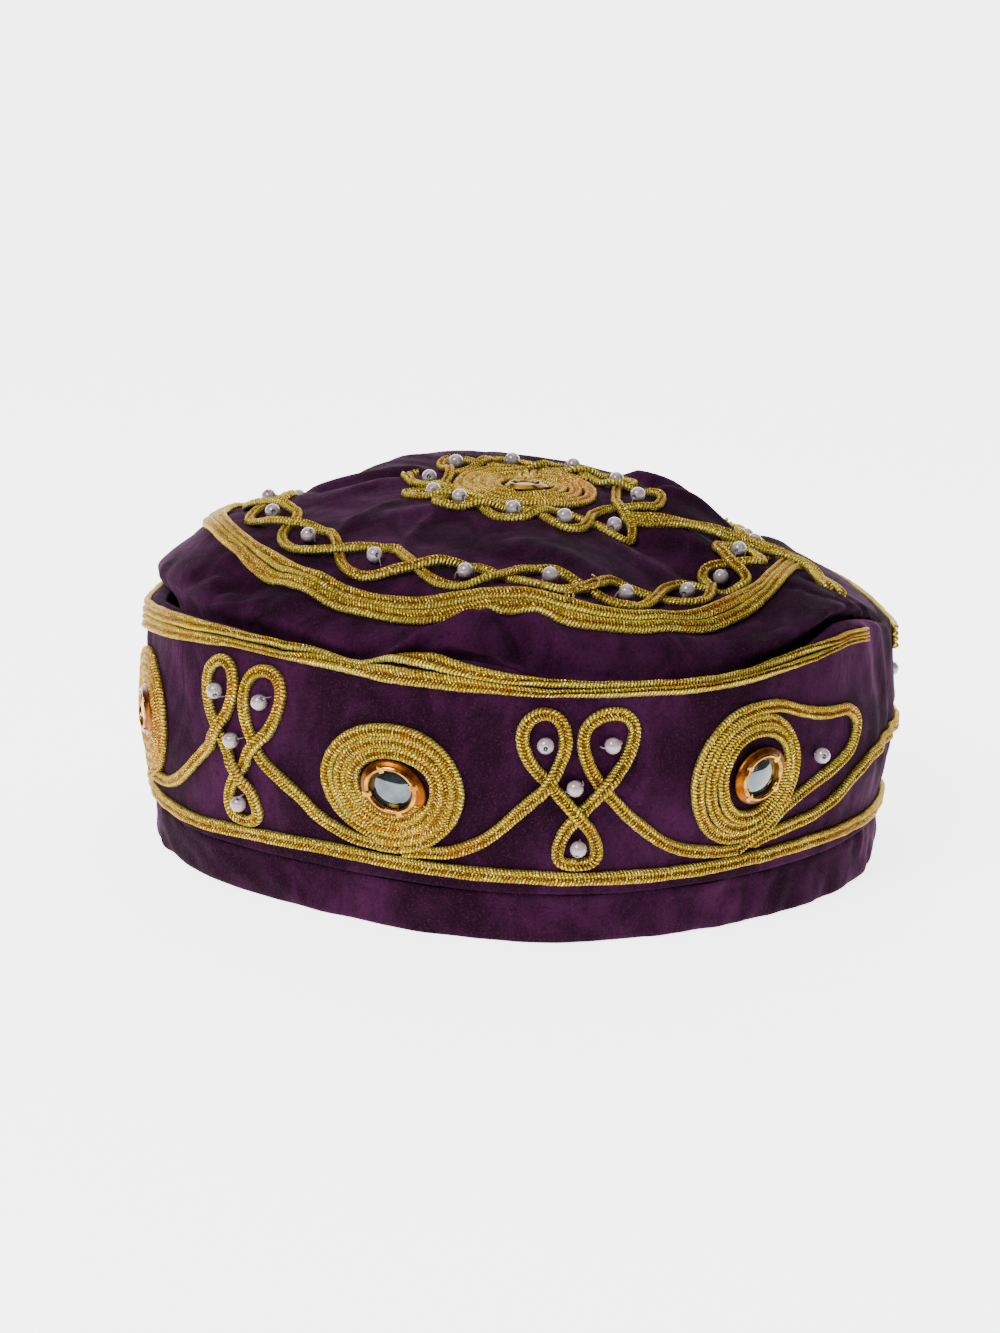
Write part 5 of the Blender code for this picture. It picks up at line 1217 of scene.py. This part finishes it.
def build_stage():
    s = Shader("studio_floor")
    grain = s.noise(3.0, 4.0, 0.6)
    tone = s.mix(grain, (0.92, 0.92, 0.92), (0.95, 0.95, 0.95))
    material = s.set(Base_Color=tone, Roughness=0.9, Specular_IOR_Level=0.1, Emission_Color=tone, Emission_Strength=3.8)
    x = np.linspace(-4.0, 4.0, 3)
    bend = np.linspace(0.0, math.pi / 2, 13)
    profile = [(-4.0, 0.0), (2.0, 0.0)] + [(2.0 + 1.2 * math.sin(t), 1.2 - 1.2 * math.cos(t)) for t in bend[1:]] + [(3.2, 2.4)]
    points = np.array([[(px, y, z) for px in x] for y, z in profile]).reshape(-1, 3)
    mesh = bpy.data.meshes.new("floor")
    mesh.from_pydata(points.tolist(), [], grid_faces(len(profile), 3).tolist())
    mesh.materials.append(material)
    for polygon in mesh.polygons:
        polygon.use_smooth = True
    floor = bpy.data.objects.new("floor", mesh)
    bpy.context.scene.collection.objects.link(floor)


def build_light():
    world = bpy.data.worlds.new("studio")
    bpy.context.scene.world = world
    world.use_nodes = True
    world.node_tree.nodes["Background"].inputs["Color"].default_value = (1.0, 1.0, 1.0, 1.0)
    world.node_tree.nodes["Background"].inputs["Strength"].default_value = 0.12
    #  name  place  aim  size  watts
    for name, place, size, watts in (("key", (-0.75, -0.95, 1.35), 0.7, 42.0), ("top", (0.15, 0.35, 1.5), 1.2, 14.0),
                                     ("fill", (1.3, -1.2, 0.7), 1.2, 3.0)):
        light = bpy.data.lights.new(name, "AREA")
        light.shape = "SQUARE"
        light.size = size
        light.energy = watts
        obj = bpy.data.objects.new(name, light)
        bpy.context.scene.collection.objects.link(obj)
        obj.location = place
        aim = np.array([0.0, 0.0, 0.04]) - np.array(place)
        obj.rotation_mode = "QUATERNION"
        obj.rotation_quaternion = Vector(aim).to_track_quat("-Z", "Y")


def build_camera():
    """The camera 700 mm from the cap, 14 degrees above the horizontal, with a slight roll."""
    distance, focal, elevation, roll, cx, cy, target = 700.0, 2765.0, 14.2, 1.65, 518.4, 669.0, 40.0
    e, r = math.radians(elevation), math.radians(roll)
    back = np.array([0.0, -math.cos(e), math.sin(e)])
    right0 = np.array([1.0, 0.0, 0.0])
    up0 = np.cross(back, right0)
    right = math.cos(r) * right0 + math.sin(r) * up0
    up = -math.sin(r) * right0 + math.cos(r) * up0
    place = (np.array([0.0, 0.0, target]) + distance * back - right * ((cx - 500.0) / focal * distance)
             + up * ((cy - 666.5) / focal * distance))
    place = (place + np.array([SHIFT_X, SHIFT_Y, 0.0])) * MM
    data = bpy.data.cameras.new("camera")
    data.sensor_width = 36.0
    data.lens = focal / 1333.0 * 36.0
    camera = bpy.data.objects.new("camera", data)
    bpy.context.scene.collection.objects.link(camera)
    matrix = np.eye(4)
    matrix[:3, 0], matrix[:3, 1], matrix[:3, 2], matrix[:3, 3] = right, up, back, place
    camera.matrix_world = Matrix(matrix.tolist())
    bpy.context.scene.camera = camera


build_cloth()
build_band_braids(braid_material("gold_braid_band", 0.35))
build_crown_braids(braid_material("gold_braid_crown", 0.5))
build_mounts()
build_pearls()
build_stage()
build_light()
build_camera()
